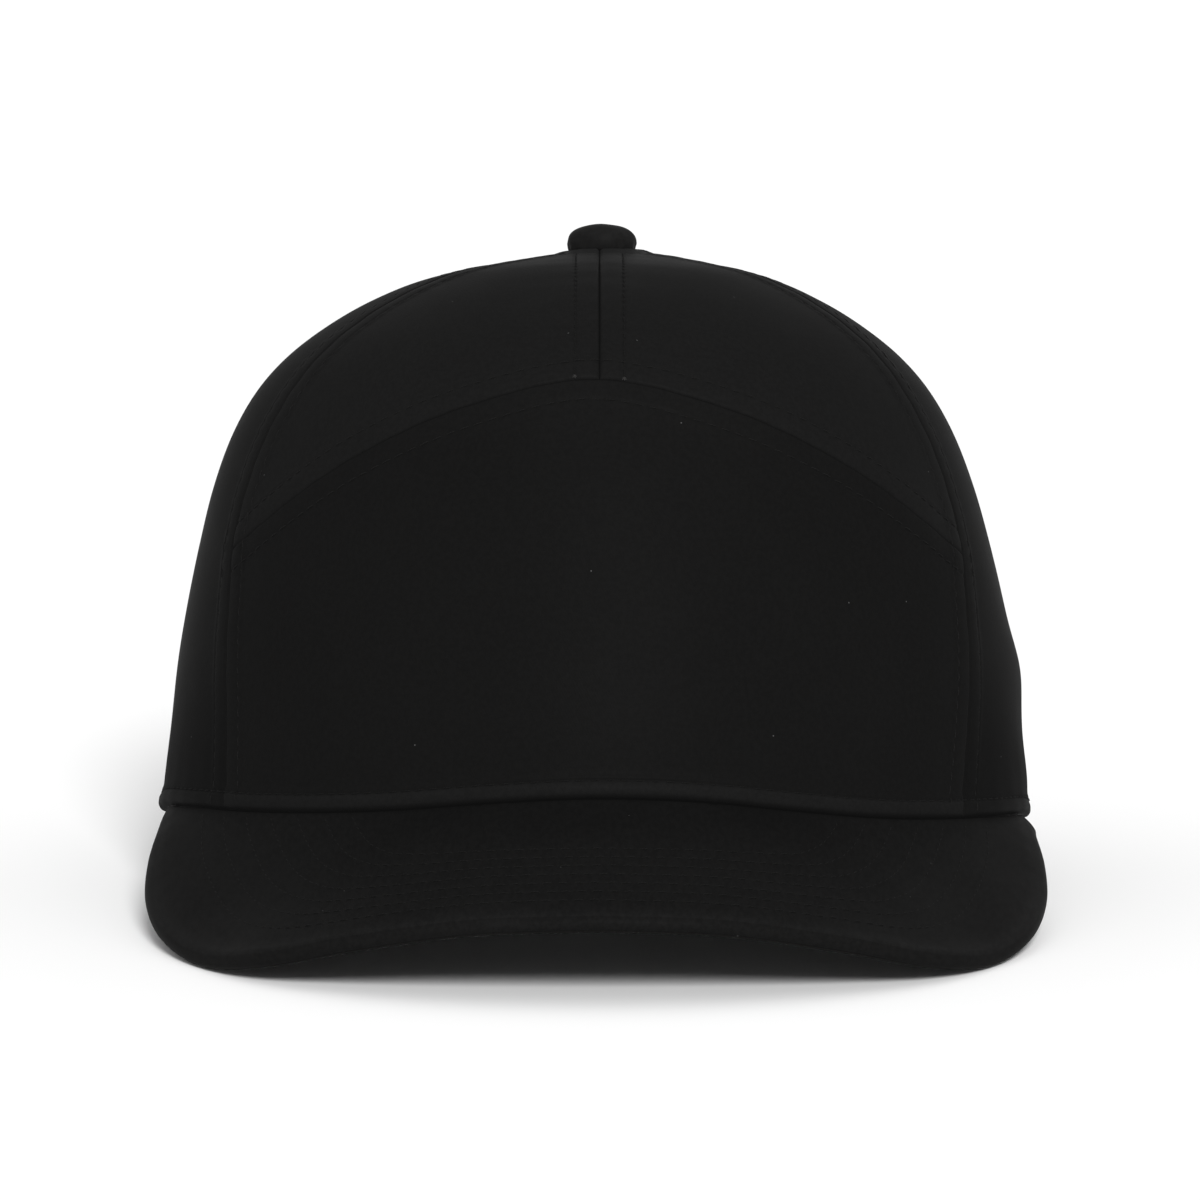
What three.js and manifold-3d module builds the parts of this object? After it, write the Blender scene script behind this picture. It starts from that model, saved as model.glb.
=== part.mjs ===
import * as THREE from 'three';
import { mergeVertices } from 'three/addons/utils/BufferGeometryUtils.js';
import Module from 'manifold-3d';

// A cloth cap with an arched visor, standing by itself on a level surface, visor towards -Y.
// Sizes are in millimetres, angles in degrees. Angles go round the crown from 0 at the middle
// of the front to 90 at the +X side and 180 at the middle of the back.

// Driving dimensions

const wall = 2; // cloth with its backing
const seamGap = 0.3; // between two panels
const seatGap = 0.3; // between a piece and what carries it
const standingTilt = 9.4; // the visor's tips hold the front up, so the crown leans back
const flattened = 0.9; // how far the back of the hem is pressed flat

const middleSeam = 0.7; // how far the seam between the two top panels lies to the side
const backSeam = 122;
const backDrop = { depth: 1.6, from: 95, to: 145 }; // the hem lies lower round the back, between these angles

const backArch = { width: 78, height: 52 };
const strap = { height: 18, thickness: 1.6, overlap: 12, above: 2 };
const button = { radius: 7.1, height: 5.5, turnedDown: 0.2, lip: 0.8, stem: 2.1, stemLength: 4.5 };

const visorCorner = 76; // angle of the crown where the visor ends
const visorThickness = 3.4;
const visorRimThickness = 1.5; // at the very rim, which is rounded over
const visorShelf = 1.6; // how far the visor reaches in under the hem
const visorRings = [0, 0.06, 0.2, 0.36, 0.52, 0.68, 0.83, 0.94, 0.985, 1]; // from the hem to the rim

// Level outlines of the crown, from the hem to the hole under the button
const crownRows = [
  { height: 0, side: 90.5, front: 97, back: 95, sway: 0 },
  { height: 14, side: 89.2, front: 96.8, back: 96, sway: 0 },
  { height: 28, side: 87.8, front: 96, back: 95.8, sway: 0 },
  { height: 42, side: 85.3, front: 94.6, back: 94, sway: -0.1 },
  { height: 55, side: 82.5, front: 92.5, back: 90.6, sway: -0.3 },
  { height: 67, side: 79.4, front: 89.6, back: 86, sway: -0.5 },
  { height: 78, side: 75.4, front: 85.5, back: 79.8, sway: -0.6 },
  { height: 87, side: 70.4, front: 79.6, back: 72.6, sway: -0.6 },
  { height: 94.2, side: 64.2, front: 71.6, back: 65, sway: -0.5 },
  { height: 100.6, side: 56.2, front: 61.4, back: 56, sway: -0.3 },
  { height: 105.8, side: 47.6, front: 50.8, back: 46.8, sway: 0 },
  { height: 110, side: 38, front: 39.4, back: 36.8, sway: 0.5 },
  { height: 113, side: 26.4, front: 26.8, back: 25.5, sway: 1 },
  { height: 115.2, side: 14.7, front: 14.8, back: 14.5, sway: 1.3 },
  { height: 116.5, side: 3, front: 3, back: 3, sway: 1.4 },
];

// The curved seam between the front panel and the two panels above it, alike on both sides
const frontSeamRows = [
  { angle: -20, height: 78 },
  { angle: 0, height: 83.4 },
  { angle: 20, height: 78 },
  { angle: 37.5, height: 68.7 },
  { angle: 53, height: 58 },
  { angle: 66, height: 49.2 },
];

// Angles of the two side seams, which aren't quite alike
const sideSeamRows = [
  { height: 0, left: 55.6, right: 54.2 },
  { height: 20, left: 57.4, right: 58.1 },
  { height: 40, left: 60.3, right: 61.4 },
  { height: 55, left: 62.2, right: 63.9 },
  { height: 70, left: 61, right: 63.6 },
  { height: 82, left: 58.6, right: 61.9 },
  { height: 92, left: 56.4, right: 61 },
  { height: 101, left: 54.3, right: 60.6 },
  { height: 109, left: 51.5, right: 59.2 },
  { height: 117, left: 49, right: 57 },
];

// How far the hem sinks with the visor's arch, on the right more than on the left
const hemDipRows = [
  { angle: -100, depth: 0 },
  { angle: -88, depth: 0 },
  { angle: -76, depth: -0.5 },
  { angle: -63, depth: 0.5 },
  { angle: -50, depth: 1.8 },
  { angle: -38, depth: 2.4 },
  { angle: -26, depth: 2.25 },
  { angle: -13, depth: 1.1 },
  { angle: 0, depth: 0.3 },
  { angle: 13, depth: 0.85 },
  { angle: 26, depth: 2.45 },
  { angle: 38, depth: 3.45 },
  { angle: 50, depth: 3.25 },
  { angle: 63, depth: 2.3 },
  { angle: 76, depth: 0.95 },
  { angle: 88, depth: 0.15 },
  { angle: 100, depth: 0 },
];

// The lower edge of the visor's rim, from the middle of the front to the corner
const visorRows = [
  { side: 0, reach: 165, lift: 14 },
  { side: 24, reach: 162, lift: 12.7 },
  { side: 46.5, reach: 152.5, lift: 8.2 },
  { side: 65, reach: 138, lift: 2.6 },
  { side: 77, reach: 120, lift: -0.3 },
  { side: 85.5, reach: 99, lift: 1 },
  { side: 90, reach: 75, lift: 3.9 },
  { side: 91, reach: 52, lift: 8 },
  { side: 89.9, reach: 30, lift: 12 },
];

// Soft folds of the cloth: where they are, how far they rise, and how far they spread
const softFolds = [
  { angle: 88, height: 30, rise: 0.8, round: 14, up: 7 },
  { angle: 84, height: 16, rise: -0.2, round: 12, up: 6 },
  { angle: 90, height: 0, rise: -0.8, round: 18, up: 5 },
  { angle: -96, height: 22, rise: -0.6, round: 16, up: 12 },
];

// Curves through the tables

const { lerp, smoothstep, degToRad, radToDeg } = THREE.MathUtils;

function through(points) {
  return new THREE.CatmullRomCurve3(points, false, 'catmullrom', 0.5);
}

const frontProfile = through(crownRows.map((r) => new THREE.Vector3(r.side, r.front, r.height)));
const backProfile = through(crownRows.map((r) => new THREE.Vector3(r.side, r.back, r.height)));
const frontSeam = through(frontSeamRows.map((r) => new THREE.Vector3(r.angle, r.height, 0)));
const sideSeams = through(sideSeamRows.map((r) => new THREE.Vector3(r.height, r.left, r.right)));
const hemDip = through(hemDipRows.map((r) => new THREE.Vector3(r.angle, r.depth, 0)));
const swayCurve = through(crownRows.map((r) => new THREE.Vector3(r.sway, 0, 0)));
const visorRim = through(visorRows.map((r) => new THREE.Vector3(r.side, -r.reach, r.lift)));

const profileLength = frontProfile.getLength();
const frontCorner = frontSeamRows.at(-1).angle;

// A level is 0 at the hem and 1 at the hole under the button
function levelAt(height) {
  let low = 0;
  let high = 1;
  for (let i = 0; i < 30; i++) {
    const middle = (low + high) / 2;
    if (frontProfile.getPoint(middle).z < height) low = middle;
    else high = middle;
  }
  return low;
}

// The point of a curve where its x has a value
function pointWhere(curve, x) {
  let low = 0;
  let high = 1;
  for (let i = 0; i < 30; i++) {
    const middle = (low + high) / 2;
    if (curve.getPoint(middle).x < x) low = middle;
    else high = middle;
  }
  return curve.getPoint(low);
}

function frontSeamLevel(angle) {
  return levelAt(pointWhere(frontSeam, Math.min(Math.abs(angle), frontCorner)).y);
}

function sideSeamAngle(level, side) {
  const at = pointWhere(sideSeams, frontProfile.getPoint(level).z);
  return side > 0 ? at.z : -at.y;
}

function middleSeamAngle(level) {
  return radToDeg(Math.asin((middleSeam - swayCurve.getPoint(level).x) / frontProfile.getPoint(level).x));
}

// The crown's outer face and, at a depth, the faces inside it

function outerPoint(angle, level) {
  const turn = degToRad(angle);
  const profile = Math.abs(angle) <= 90 ? frontProfile : backProfile;
  const row = profile.getPoint(level);
  const drop = backDrop.depth * smoothstep(Math.abs(angle), backDrop.from, backDrop.to);
  const fade = Math.max(0, 1 - 4 * level) ** 2;
  const dip = fade > 0 ? (pointWhere(hemDip, angle).y + drop) * fade : 0;
  const folds = softFolds.reduce((sum, fold) => {
    const round = (angle - fold.angle) / fold.round;
    const up = (row.z - fold.height) / fold.up;
    return sum + fold.rise * Math.exp(-round * round - up * up);
  }, 0);
  const x = swayCurve.getPoint(level).x + (row.x + folds) * Math.sin(turn);
  return new THREE.Vector3(x, -(row.y + folds) * Math.cos(turn), row.z - dip);
}

function crownPoint(angle, level, depth = 0) {
  const step = 0.005;
  const round = outerPoint(angle + 1, level).sub(outerPoint(angle - 1, level));
  const up = outerPoint(angle, Math.min(level + step, 1)).sub(outerPoint(angle, Math.max(level - step, 0)));
  const outward = round.cross(up).normalize();
  return outerPoint(angle, level).addScaledVector(outward, -depth);
}

// A closed sheet between two faces, each a grid of points with equal rows and columns

function sheet(face, back) {
  const rows = face.length;
  const columns = face[0].length;
  const points = [...face.flat(), ...back.flat()];
  const at = (side, i, j) => side * rows * columns + i * columns + j;
  const index = [];
  const quad = (a, b, c, d) => index.push(a, b, c, a, c, d);
  for (let i = 0; i < rows - 1; i++) {
    for (let j = 0; j < columns - 1; j++) {
      quad(at(0, i, j), at(0, i, j + 1), at(0, i + 1, j + 1), at(0, i + 1, j));
      quad(at(1, i, j), at(1, i + 1, j), at(1, i + 1, j + 1), at(1, i, j + 1));
    }
  }
  for (let j = 0; j < columns - 1; j++) {
    quad(at(0, 0, j + 1), at(0, 0, j), at(1, 0, j), at(1, 0, j + 1));
    quad(at(0, rows - 1, j), at(0, rows - 1, j + 1), at(1, rows - 1, j + 1), at(1, rows - 1, j));
  }
  for (let i = 0; i < rows - 1; i++) {
    quad(at(0, i, 0), at(0, i + 1, 0), at(1, i + 1, 0), at(1, i, 0));
    quad(at(0, i + 1, columns - 1), at(0, i, columns - 1), at(1, i, columns - 1), at(1, i + 1, columns - 1));
  }
  const geometry = new THREE.BufferGeometry().setFromPoints(points);
  geometry.setIndex(index);
  return geometry;
}

function grid(rows, columns, pointAt) {
  const across = (count, make) => Array.from({ length: count + 1 }, (_, i) => make(i / count));
  return across(rows, (v) => across(columns, (u) => pointAt(u, v)));
}

// Cutting one closed mesh by another

const manifold = await Module();
manifold.setup();

function toSolid(geometry) {
  const bare = geometry.clone();
  bare.deleteAttribute('normal');
  bare.deleteAttribute('uv');
  const merged = mergeVertices(bare, 1e-4);
  return new manifold.Manifold(new manifold.Mesh({
    numProp: 3,
    vertProperties: new Float32Array(merged.attributes.position.array),
    triVerts: new Uint32Array(merged.index.array),
  }));
}

function toGeometry(solid) {
  const mesh = solid.getMesh();
  const geometry = new THREE.BufferGeometry();
  geometry.setAttribute('position', new THREE.BufferAttribute(mesh.vertProperties, 3));
  geometry.setIndex(new THREE.BufferAttribute(mesh.triVerts, 1));
  return geometry;
}

function cutAway(geometry, ...tools) {
  return toGeometry(tools.reduce((solid, tool) => solid.subtract(toSolid(tool)), toSolid(geometry)));
}

// Where the crown stands: its hem plane leans back on the pressed part of its rim

const hemRow = crownRows[0];
const legReach = hemRow.back * Math.sqrt(1 - (backArch.width / 2 / hemRow.side) ** 2);
const crown = new THREE.Group();
crown.rotation.x = -degToRad(standingTilt);
crown.position.z = legReach * Math.sin(degToRad(standingTilt)) + backDrop.depth - flattened;
crown.updateMatrixWorld();

function floorBlock() {
  return new THREE.BoxGeometry(400, 400, 40).translate(0, 0, -20);
}

function archBlock() {
  const radius = backArch.width / 2;
  const outline = new THREE.Shape();
  outline.moveTo(-radius, -10);
  outline.lineTo(radius, -10);
  outline.lineTo(radius, backArch.height - radius);
  outline.absarc(0, backArch.height - radius, radius, 0, Math.PI, false);
  outline.closePath();
  const block = new THREE.ExtrudeGeometry(outline, { depth: 80, bevelEnabled: false, curveSegments: 12 });
  return block.rotateX(Math.PI / 2).translate(0, 130, 0);
}

// Panels: each fills the space between two seams that go up and two that go round

function panel({ left, right, bottom, top, columns, rows, seamBelow = false, seamAbove = false }) {
  const pointAt = (depth) => (u, v) => {
    const roughLevel = lerp(bottom(0.5), top(0.5), v);
    const spread = outerPoint(90, roughLevel).x * degToRad(right(roughLevel) - left(roughLevel));
    const sideMargin = seamGap / 2 / spread;
    const across = lerp(sideMargin, 1 - sideMargin, u);
    const low = bottom(across);
    const high = top(across);
    const edgeMargin = seamGap / 2 / ((high - low) * profileLength);
    const up = lerp(seamBelow ? edgeMargin : 0, seamAbove ? 1 - edgeMargin : 1, v);
    const level = lerp(low, high, up);
    return crownPoint(lerp(left(level), right(level), across), level, depth);
  };
  return sheet(grid(rows, columns, pointAt(0)), grid(rows, columns, pointAt(wall)));
}

const hem = () => 0;
const crownTop = () => 1;
const sideSeam = (side) => (level) => sideSeamAngle(level, side);

// The level of the front seam part of the way from one seam to another, which both lean as they rise
function frontSeamBetween(left, right) {
  return (u) => {
    let level = frontSeamLevel(0);
    for (let i = 0; i < 12; i++) level = frontSeamLevel(lerp(left(level), right(level), u));
    return level;
  };
}

function frontPanel() {
  const [left, right] = [sideSeam(-1), sideSeam(1)];
  return panel({
    left,
    right,
    bottom: hem,
    top: frontSeamBetween(left, right),
    columns: 28,
    rows: 14,
    seamAbove: true,
  });
}

function topPanel(side) {
  const [left, right] = side > 0 ? [middleSeamAngle, sideSeam(1)] : [sideSeam(-1), middleSeamAngle];
  return panel({
    left,
    right,
    bottom: frontSeamBetween(left, right),
    top: crownTop,
    columns: 12,
    rows: 10,
    seamBelow: true,
  });
}

function sidePanel(side) {
  return panel({
    left: side > 0 ? sideSeam(1) : () => -backSeam,
    right: side > 0 ? () => backSeam : sideSeam(-1),
    bottom: hem,
    top: crownTop,
    columns: 9,
    rows: 22,
  });
}

function backPanel(side) {
  const cloth = panel({
    left: side > 0 ? () => backSeam : () => -180,
    right: side > 0 ? () => 180 : () => -backSeam,
    bottom: hem,
    top: crownTop,
    columns: 9,
    rows: 22,
  });
  return cutAway(cloth, archBlock(), floorBlock().applyMatrix4(crown.matrixWorld.clone().invert()));
}

// The visor: a stiff sheet from under the hem to its rim, rounded along the rim

function visor() {
  const columns = 36;
  const step = 0.02;
  const plumb = new THREE.Vector3(0, 0, -1);
  const angleAt = (u) => lerp(-visorCorner, visorCorner, u);
  const undersideOfHem = (point, angle) => crown.localToWorld(point.setZ(outerPoint(angle, 0).z - seatGap));
  const topPoint = (u, v) => {
    const inner = undersideOfHem(outerPoint(angleAt(u), 0), angleAt(u));
    const rim = visorRim.getPoint(Math.abs(2 * u - 1));
    rim.x *= Math.sign(u - 0.5);
    rim.z += visorThickness;
    return inner.lerp(rim, v);
  };
  const downAt = (u, v) => {
    const round = topPoint(Math.min(u + step, 1), v).sub(topPoint(Math.max(u - step, 0), v));
    const out = topPoint(u, Math.min(v + step, 1)).sub(topPoint(u, Math.max(v - step, 0)));
    return round.cross(out).normalize().add(plumb).normalize();
  };
  const sectionAt = (u) => {
    const shelf = undersideOfHem(crownPoint(angleAt(u), 0, visorShelf), angleAt(u));
    const face = [shelf];
    const back = [shelf.clone().addScaledVector(downAt(u, 0), visorThickness)];
    for (const v of visorRings) {
      const thickness = v === 1 ? visorRimThickness : visorThickness;
      const down = downAt(u, v);
      const drop = (visorThickness - thickness) / 2;
      face.push(topPoint(u, v).addScaledVector(down, drop));
      back.push(topPoint(u, v).addScaledVector(down, drop + thickness));
    }
    return { face, back };
  };
  const sections = Array.from({ length: columns + 1 }, (_, i) => sectionAt(i / columns));
  return cutAway(sheet(sections.map((s) => s.face), sections.map((s) => s.back)), floorBlock());
}

// The closure across the back arch: one plain band inside the hem

function snapStrap() {
  const reach = radToDeg((backArch.width / 2 + strap.overlap) / hemRow.side);
  const low = levelAt(strap.above);
  const high = levelAt(strap.above + strap.height);
  const pointAt = (depth) => (u, v) => crownPoint(lerp(180 - reach, 180 + reach, u), lerp(low, high, v), depth);
  const start = wall + seatGap;
  return sheet(grid(2, 24, pointAt(start)), grid(2, 24, pointAt(start + strap.thickness)));
}

// The button: a low dome on a stem that goes down between the panels' tips

function topButton() {
  const tip = crownRows.at(-1);
  const under = tip.height + seatGap;
  const brim = under - button.turnedDown;
  const outline = [
    new THREE.Vector2(0, tip.height - button.stemLength),
    new THREE.Vector2(button.stem, tip.height - button.stemLength),
    new THREE.Vector2(button.stem, under),
    new THREE.Vector2(button.radius, brim),
  ];
  const steps = 8;
  for (let i = 0; i < steps; i++) {
    const turn = (i / steps) * (Math.PI / 2);
    const rise = brim + button.lip + (button.height - button.lip) * Math.sin(turn);
    outline.push(new THREE.Vector2(button.radius * Math.cos(turn) ** 0.8, rise));
  }
  outline.push(new THREE.Vector2(0, brim + button.height));
  return new THREE.LatheGeometry(outline, 32).rotateX(Math.PI / 2).translate(tip.sway, 0, 0);
}

// Assembly

const cloth = new THREE.MeshStandardMaterial({ color: 0x1c1c1b, roughness: 0.9, metalness: 0 });
const plastic = new THREE.MeshStandardMaterial({ color: 0x151515, roughness: 0.45, metalness: 0 });

function piece(name, geometry, material = cloth) {
  geometry.computeVertexNormals();
  const mesh = new THREE.Mesh(geometry, material.clone());
  mesh.name = name;
  return mesh;
}

crown.add(piece('front_panel', frontPanel()));
for (const [name, side] of [['left', -1], ['right', 1]]) {
  crown.add(piece(`top_panel_${name}`, topPanel(side)));
  crown.add(piece(`side_panel_${name}`, sidePanel(side)));
  crown.add(piece(`back_panel_${name}`, backPanel(side)));
}
crown.add(piece('button', topButton()));
crown.add(piece('snap_strap', snapStrap(), plastic));

const group = new THREE.Group();
group.add(crown, piece('visor', visor()));

// The origin is below the middle of the whole cap, on the surface that it stands on
group.updateMatrixWorld(true);
const box = new THREE.Box3().setFromObject(group, true);
group.position.set(-(box.min.x + box.max.x) / 2, -(box.min.y + box.max.y) / 2, 0);

export default group;
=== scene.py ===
import math
import bpy
import numpy as np
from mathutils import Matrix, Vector


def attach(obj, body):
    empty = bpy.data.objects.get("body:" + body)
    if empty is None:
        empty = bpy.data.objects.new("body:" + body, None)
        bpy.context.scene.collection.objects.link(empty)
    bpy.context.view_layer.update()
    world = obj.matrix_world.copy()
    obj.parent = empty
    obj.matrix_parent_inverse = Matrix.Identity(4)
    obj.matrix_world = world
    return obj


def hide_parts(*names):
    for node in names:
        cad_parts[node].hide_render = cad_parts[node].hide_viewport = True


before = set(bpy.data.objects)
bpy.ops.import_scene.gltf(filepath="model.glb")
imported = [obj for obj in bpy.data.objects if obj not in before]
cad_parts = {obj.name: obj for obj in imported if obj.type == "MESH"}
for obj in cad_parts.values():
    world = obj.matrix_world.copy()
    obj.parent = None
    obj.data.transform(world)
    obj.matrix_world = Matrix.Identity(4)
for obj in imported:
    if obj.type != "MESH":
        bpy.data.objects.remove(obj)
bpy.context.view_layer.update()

random = np.random.default_rng(11)

# Shapes are worked out in millimetres and turned into metres when a mesh is made.
# Angles go round the crown from 0 at the front middle to 90 at the +X side.


def smoothStep(x, low, high):
    t = np.clip((np.asarray(x, float) - low) / (high - low), 0, 1)
    return t * t * (3 - 2 * t)


def lerp(a, b, t):
    return a + (b - a) * t


def bell(x, width):
    return np.exp(-(x / width) ** 2)


def curveThrough(rows, t):
    rows = np.asarray(rows, float)
    last = len(rows) - 1
    place = np.clip(np.asarray(t, float), 0, 1) * last
    i = np.minimum(place.astype(int), last - 1)
    w = (place - i)[..., None]
    ends = np.vstack([2 * rows[0] - rows[1], rows, 2 * rows[-1] - rows[-2]])
    before, a, b, after = (ends[i + k] for k in range(4))
    leave, arrive = (b - before) / 2, (after - a) / 2
    return a + leave * w + (3 * (b - a) - 2 * leave - arrive) * w ** 2 + (2 * (a - b) + leave + arrive) * w ** 3


def lengths(points, axis=0):
    steps = np.linalg.norm(np.diff(points, axis=axis), axis=-1)
    start = np.zeros_like(np.take(steps, [0], axis=axis))
    return np.concatenate([start, np.cumsum(steps, axis=axis)], axis=axis)


def unit(v):
    return v / np.maximum(np.linalg.norm(v, axis=-1, keepdims=True), 1e-12)


crown = {
    "tilt": 9.4,
    "place": (0.0012, 33.0741, 14.7013),
    "wall": 2.0,
    "seamOverlap": 0.12,
    "levelLength": 170,               # roughly how long the cloth is from the hem to the button
    "middleSeam": 0.7,                # how far the seam between the top panels lies to the side
    "backSeam": 122,
    "backDrop": (1.6, 95, 145),
    # height, side, front, back, sway
    "rows": [
        (0, 90.5, 97, 95, 0), (14, 89.2, 96.8, 96, 0), (28, 87.8, 96, 95.8, 0),
        (42, 85.3, 94.6, 94, -0.1), (55, 82.5, 92.5, 90.6, -0.3), (67, 79.4, 89.6, 86, -0.5),
        (78, 75.4, 85.5, 79.8, -0.6), (87, 70.4, 79.6, 72.6, -0.6), (94.2, 64.2, 71.6, 65, -0.5),
        (100.6, 56.2, 61.4, 56, -0.3), (105.8, 47.6, 50.8, 46.8, 0), (110, 38, 39.4, 36.8, 0.5),
        (113, 26.4, 26.8, 25.5, 1), (115.2, 14.7, 14.8, 14.5, 1.3), (116.5, 3, 3, 3, 1.4),
    ],
    # the curved seam over the front panel: angle, height
    "frontSeam": [(-20, 78), (0, 83.4), (20, 78), (37.5, 68.7), (53, 58), (66, 49.2)],
    # the side seams: height, angle of the left one, angle of the right one
    "sideSeams": [(0, 55.6, 54.2), (20, 57.4, 58.1), (40, 60.3, 61.4), (55, 62.2, 63.9), (70, 61, 63.6),
                  (82, 58.6, 61.9), (92, 56.4, 61), (101, 54.3, 60.6), (109, 51.5, 59.2), (117, 49, 57)],
    # how far the hem sinks with the visor's arch: angle, depth
    "hemDips": [(-100, 0), (-88, 0), (-76, -0.5), (-63, 0.5), (-50, 1.8), (-38, 2.4), (-26, 2.25), (-13, 1.1),
                (0, 0.3), (13, 0.85), (26, 2.45), (38, 3.45), (50, 3.25), (63, 2.3), (76, 1.25), (88, 1.45),
                (100, 1)],
    # soft folds: angle, height, rise, spread round, spread up
    "folds": [(88, 30, 0.8, 14, 7), (84, 16, -0.2, 12, 6), (90, 0, -0.8, 18, 5), (-96, 22, -0.6, 16, 12)],
    # the arched opening at the back
    "arch": {"half": 39, "spring": 13, "top": 52},
}

hemDipSteps = curveThrough(crown["hemDips"], np.linspace(0, 1, 1601))


def nearHem(level):
    # how much of the hem's sinking is felt at a level
    return np.maximum(0, 1 - 4 * level) ** 2


def crownOuter(angle, level):
    angle, level = np.broadcast_arrays(np.asarray(angle, float), np.asarray(level, float))
    height, side, front, back, sway = np.moveaxis(curveThrough(crown["rows"], level), -1, 0)
    turn = np.radians(angle)
    away = np.abs(angle)
    drop = crown["backDrop"][0] * smoothStep(away, *crown["backDrop"][1:])
    dip = (np.interp(angle, *hemDipSteps.T) + drop) * nearHem(level)
    folds = sum(rise * np.exp(-((angle - at) / wide) ** 2 - ((height - high) / up) ** 2)
                for at, high, rise, wide, up in crown["folds"])
    reach = np.where(away <= 90, front, back) + folds
    return np.stack([sway + (side + folds) * np.sin(turn), -reach * np.cos(turn), height - dip], -1)


def crownNormal(angle, level):
    level = np.asarray(level, float)
    acrossWay = crownOuter(angle + 1.0, level) - crownOuter(angle - 1.0, level)
    upWay = crownOuter(angle, np.minimum(level + 0.005, 1)) - crownOuter(angle, np.maximum(level - 0.005, 0))
    return unit(np.cross(acrossWay, upWay))


def standing(points):
    t = math.radians(crown["tilt"])
    x, y, z = np.moveaxis(points, -1, 0)
    turned = np.stack([x, y * math.cos(t) + z * math.sin(t), z * math.cos(t) - y * math.sin(t)], -1)
    return turned + np.array(crown["place"])


levelSteps = np.linspace(0, 1, 4001)
heightSteps, sideSteps, _, _, swaySteps = curveThrough(crown["rows"], levelSteps).T
frontSeamEnd = crown["frontSeam"][-1][0]
frontSeamSteps = curveThrough(crown["frontSeam"], np.linspace(0, 1, 801))
sideSeamSteps = curveThrough(crown["sideSeams"], np.linspace(0, 1, 801))


def levelAt(height):
    return np.interp(height, heightSteps, levelSteps)


def frontSeamLevel(angle):
    angle = np.minimum(np.abs(angle), frontSeamEnd)
    return levelAt(np.interp(angle, frontSeamSteps[:, 0], frontSeamSteps[:, 1]))


def sideSeamAngle(level, side):
    height = np.interp(level, levelSteps, heightSteps)
    return side * np.interp(height, sideSeamSteps[:, 0], sideSeamSteps[:, 2 if side > 0 else 1])


def middleSeamAngle(level):
    offset = crown["middleSeam"] - np.interp(level, levelSteps, swaySteps)
    return np.degrees(np.arcsin(offset / np.interp(level, levelSteps, sideSteps)))


def frontSeamBetween(left, right):
    # the front seam's level part of the way from one seam to another, which both lean as they rise
    def levelAcross(share):
        level = share * 0 + frontSeamLevel(0)
        for _ in range(12):
            level = frontSeamLevel(lerp(left(level), right(level), share))
        return level
    return levelAcross


def archAngle(level, side):
    # how far round the back panel reaches: to the arch's edge, and above it to the middle of the back
    arch = crown["arch"]
    level = np.asarray(level, float)
    z = np.interp(level, levelSteps, heightSteps) - crown["backDrop"][0] * nearHem(level)
    rise = np.clip((z - arch["spring"]) / (arch["top"] - arch["spring"]), 0, 1)
    half = arch["half"] * np.sqrt(1 - rise ** 2)
    share = (half - side * np.interp(level, levelSteps, swaySteps)) / np.interp(level, levelSteps, sideSteps)
    return np.where(z < arch["top"], 180 - np.degrees(np.arcsin(np.clip(share, 0, 1))), 180.0)


atOnce = 4000  # points that are measured in one go, to save memory


def closest(spots, line):
    # the number of the line's point that is nearest to each spot
    return ((spots ** 2).sum(1)[:, None] + (line ** 2).sum(1) - 2 * spots @ line.T).argmin(1)


class SeamLine:
    def __init__(self, angle, level):
        angle, level = np.broadcast_arrays(np.asarray(angle, float), np.asarray(level, float))
        rough = lengths(crownOuter(angle, level))
        even = np.linspace(0, rough[-1], max(20, int(rough[-1] / 0.4)))
        self.angle, self.level = np.interp(even, rough, angle), np.interp(even, rough, level)
        self.points = crownOuter(self.angle, self.level)
        self.along = lengths(self.points)

    def nearest(self, spots):
        # distance of each spot from the seam, and how far along the seam it is
        flat = spots.reshape(-1, 3)
        distance, along = np.empty(len(flat)), np.empty(len(flat))
        for start in range(0, len(flat), atOnce):
            part = flat[start:start + atOnce]
            k = closest(part, self.points)
            best = np.full(len(part), np.inf)
            for first in (np.maximum(k - 1, 0), np.minimum(k, len(self.points) - 2)):
                a, b = self.points[first], self.points[first + 1]
                t = np.clip(((part - a) * (b - a)).sum(1) / ((b - a) ** 2).sum(1), 0, 1)
                d = np.linalg.norm(part - a - (b - a) * t[:, None], axis=1)
                closer = d < best
                best = np.where(closer, d, best)
                here = lerp(self.along[first], self.along[first + 1], t)
                along[start:start + atOnce][closer] = here[closer]
            distance[start:start + atOnce] = best
        return distance.reshape(spots.shape[:-1]), along.reshape(spots.shape[:-1])

    def beside(self, offset):
        # the line on the crown that runs at this distance to one side, as angles and levels
        ahead = np.gradient(self.points, axis=0)
        outward = crownNormal(self.angle, self.level)
        sideways = unit(np.cross(outward, ahead)) * offset
        roundWay = crownOuter(self.angle + 0.5, self.level) - crownOuter(self.angle - 0.5, self.level)
        low, high = np.maximum(self.level - 0.002, 0), np.minimum(self.level + 0.002, 1)
        upWay = (crownOuter(self.angle, high) - crownOuter(self.angle, low)) / (high - low)[:, None]
        rr, ru, uu = (roundWay ** 2).sum(1), (roundWay * upWay).sum(1), (upWay ** 2).sum(1)
        sr, su = (sideways * roundWay).sum(1), (sideways * upWay).sum(1)
        det = rr * uu - ru ** 2
        return self.angle + (sr * uu - su * ru) / det, self.level + (su * rr - sr * ru) / det


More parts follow.
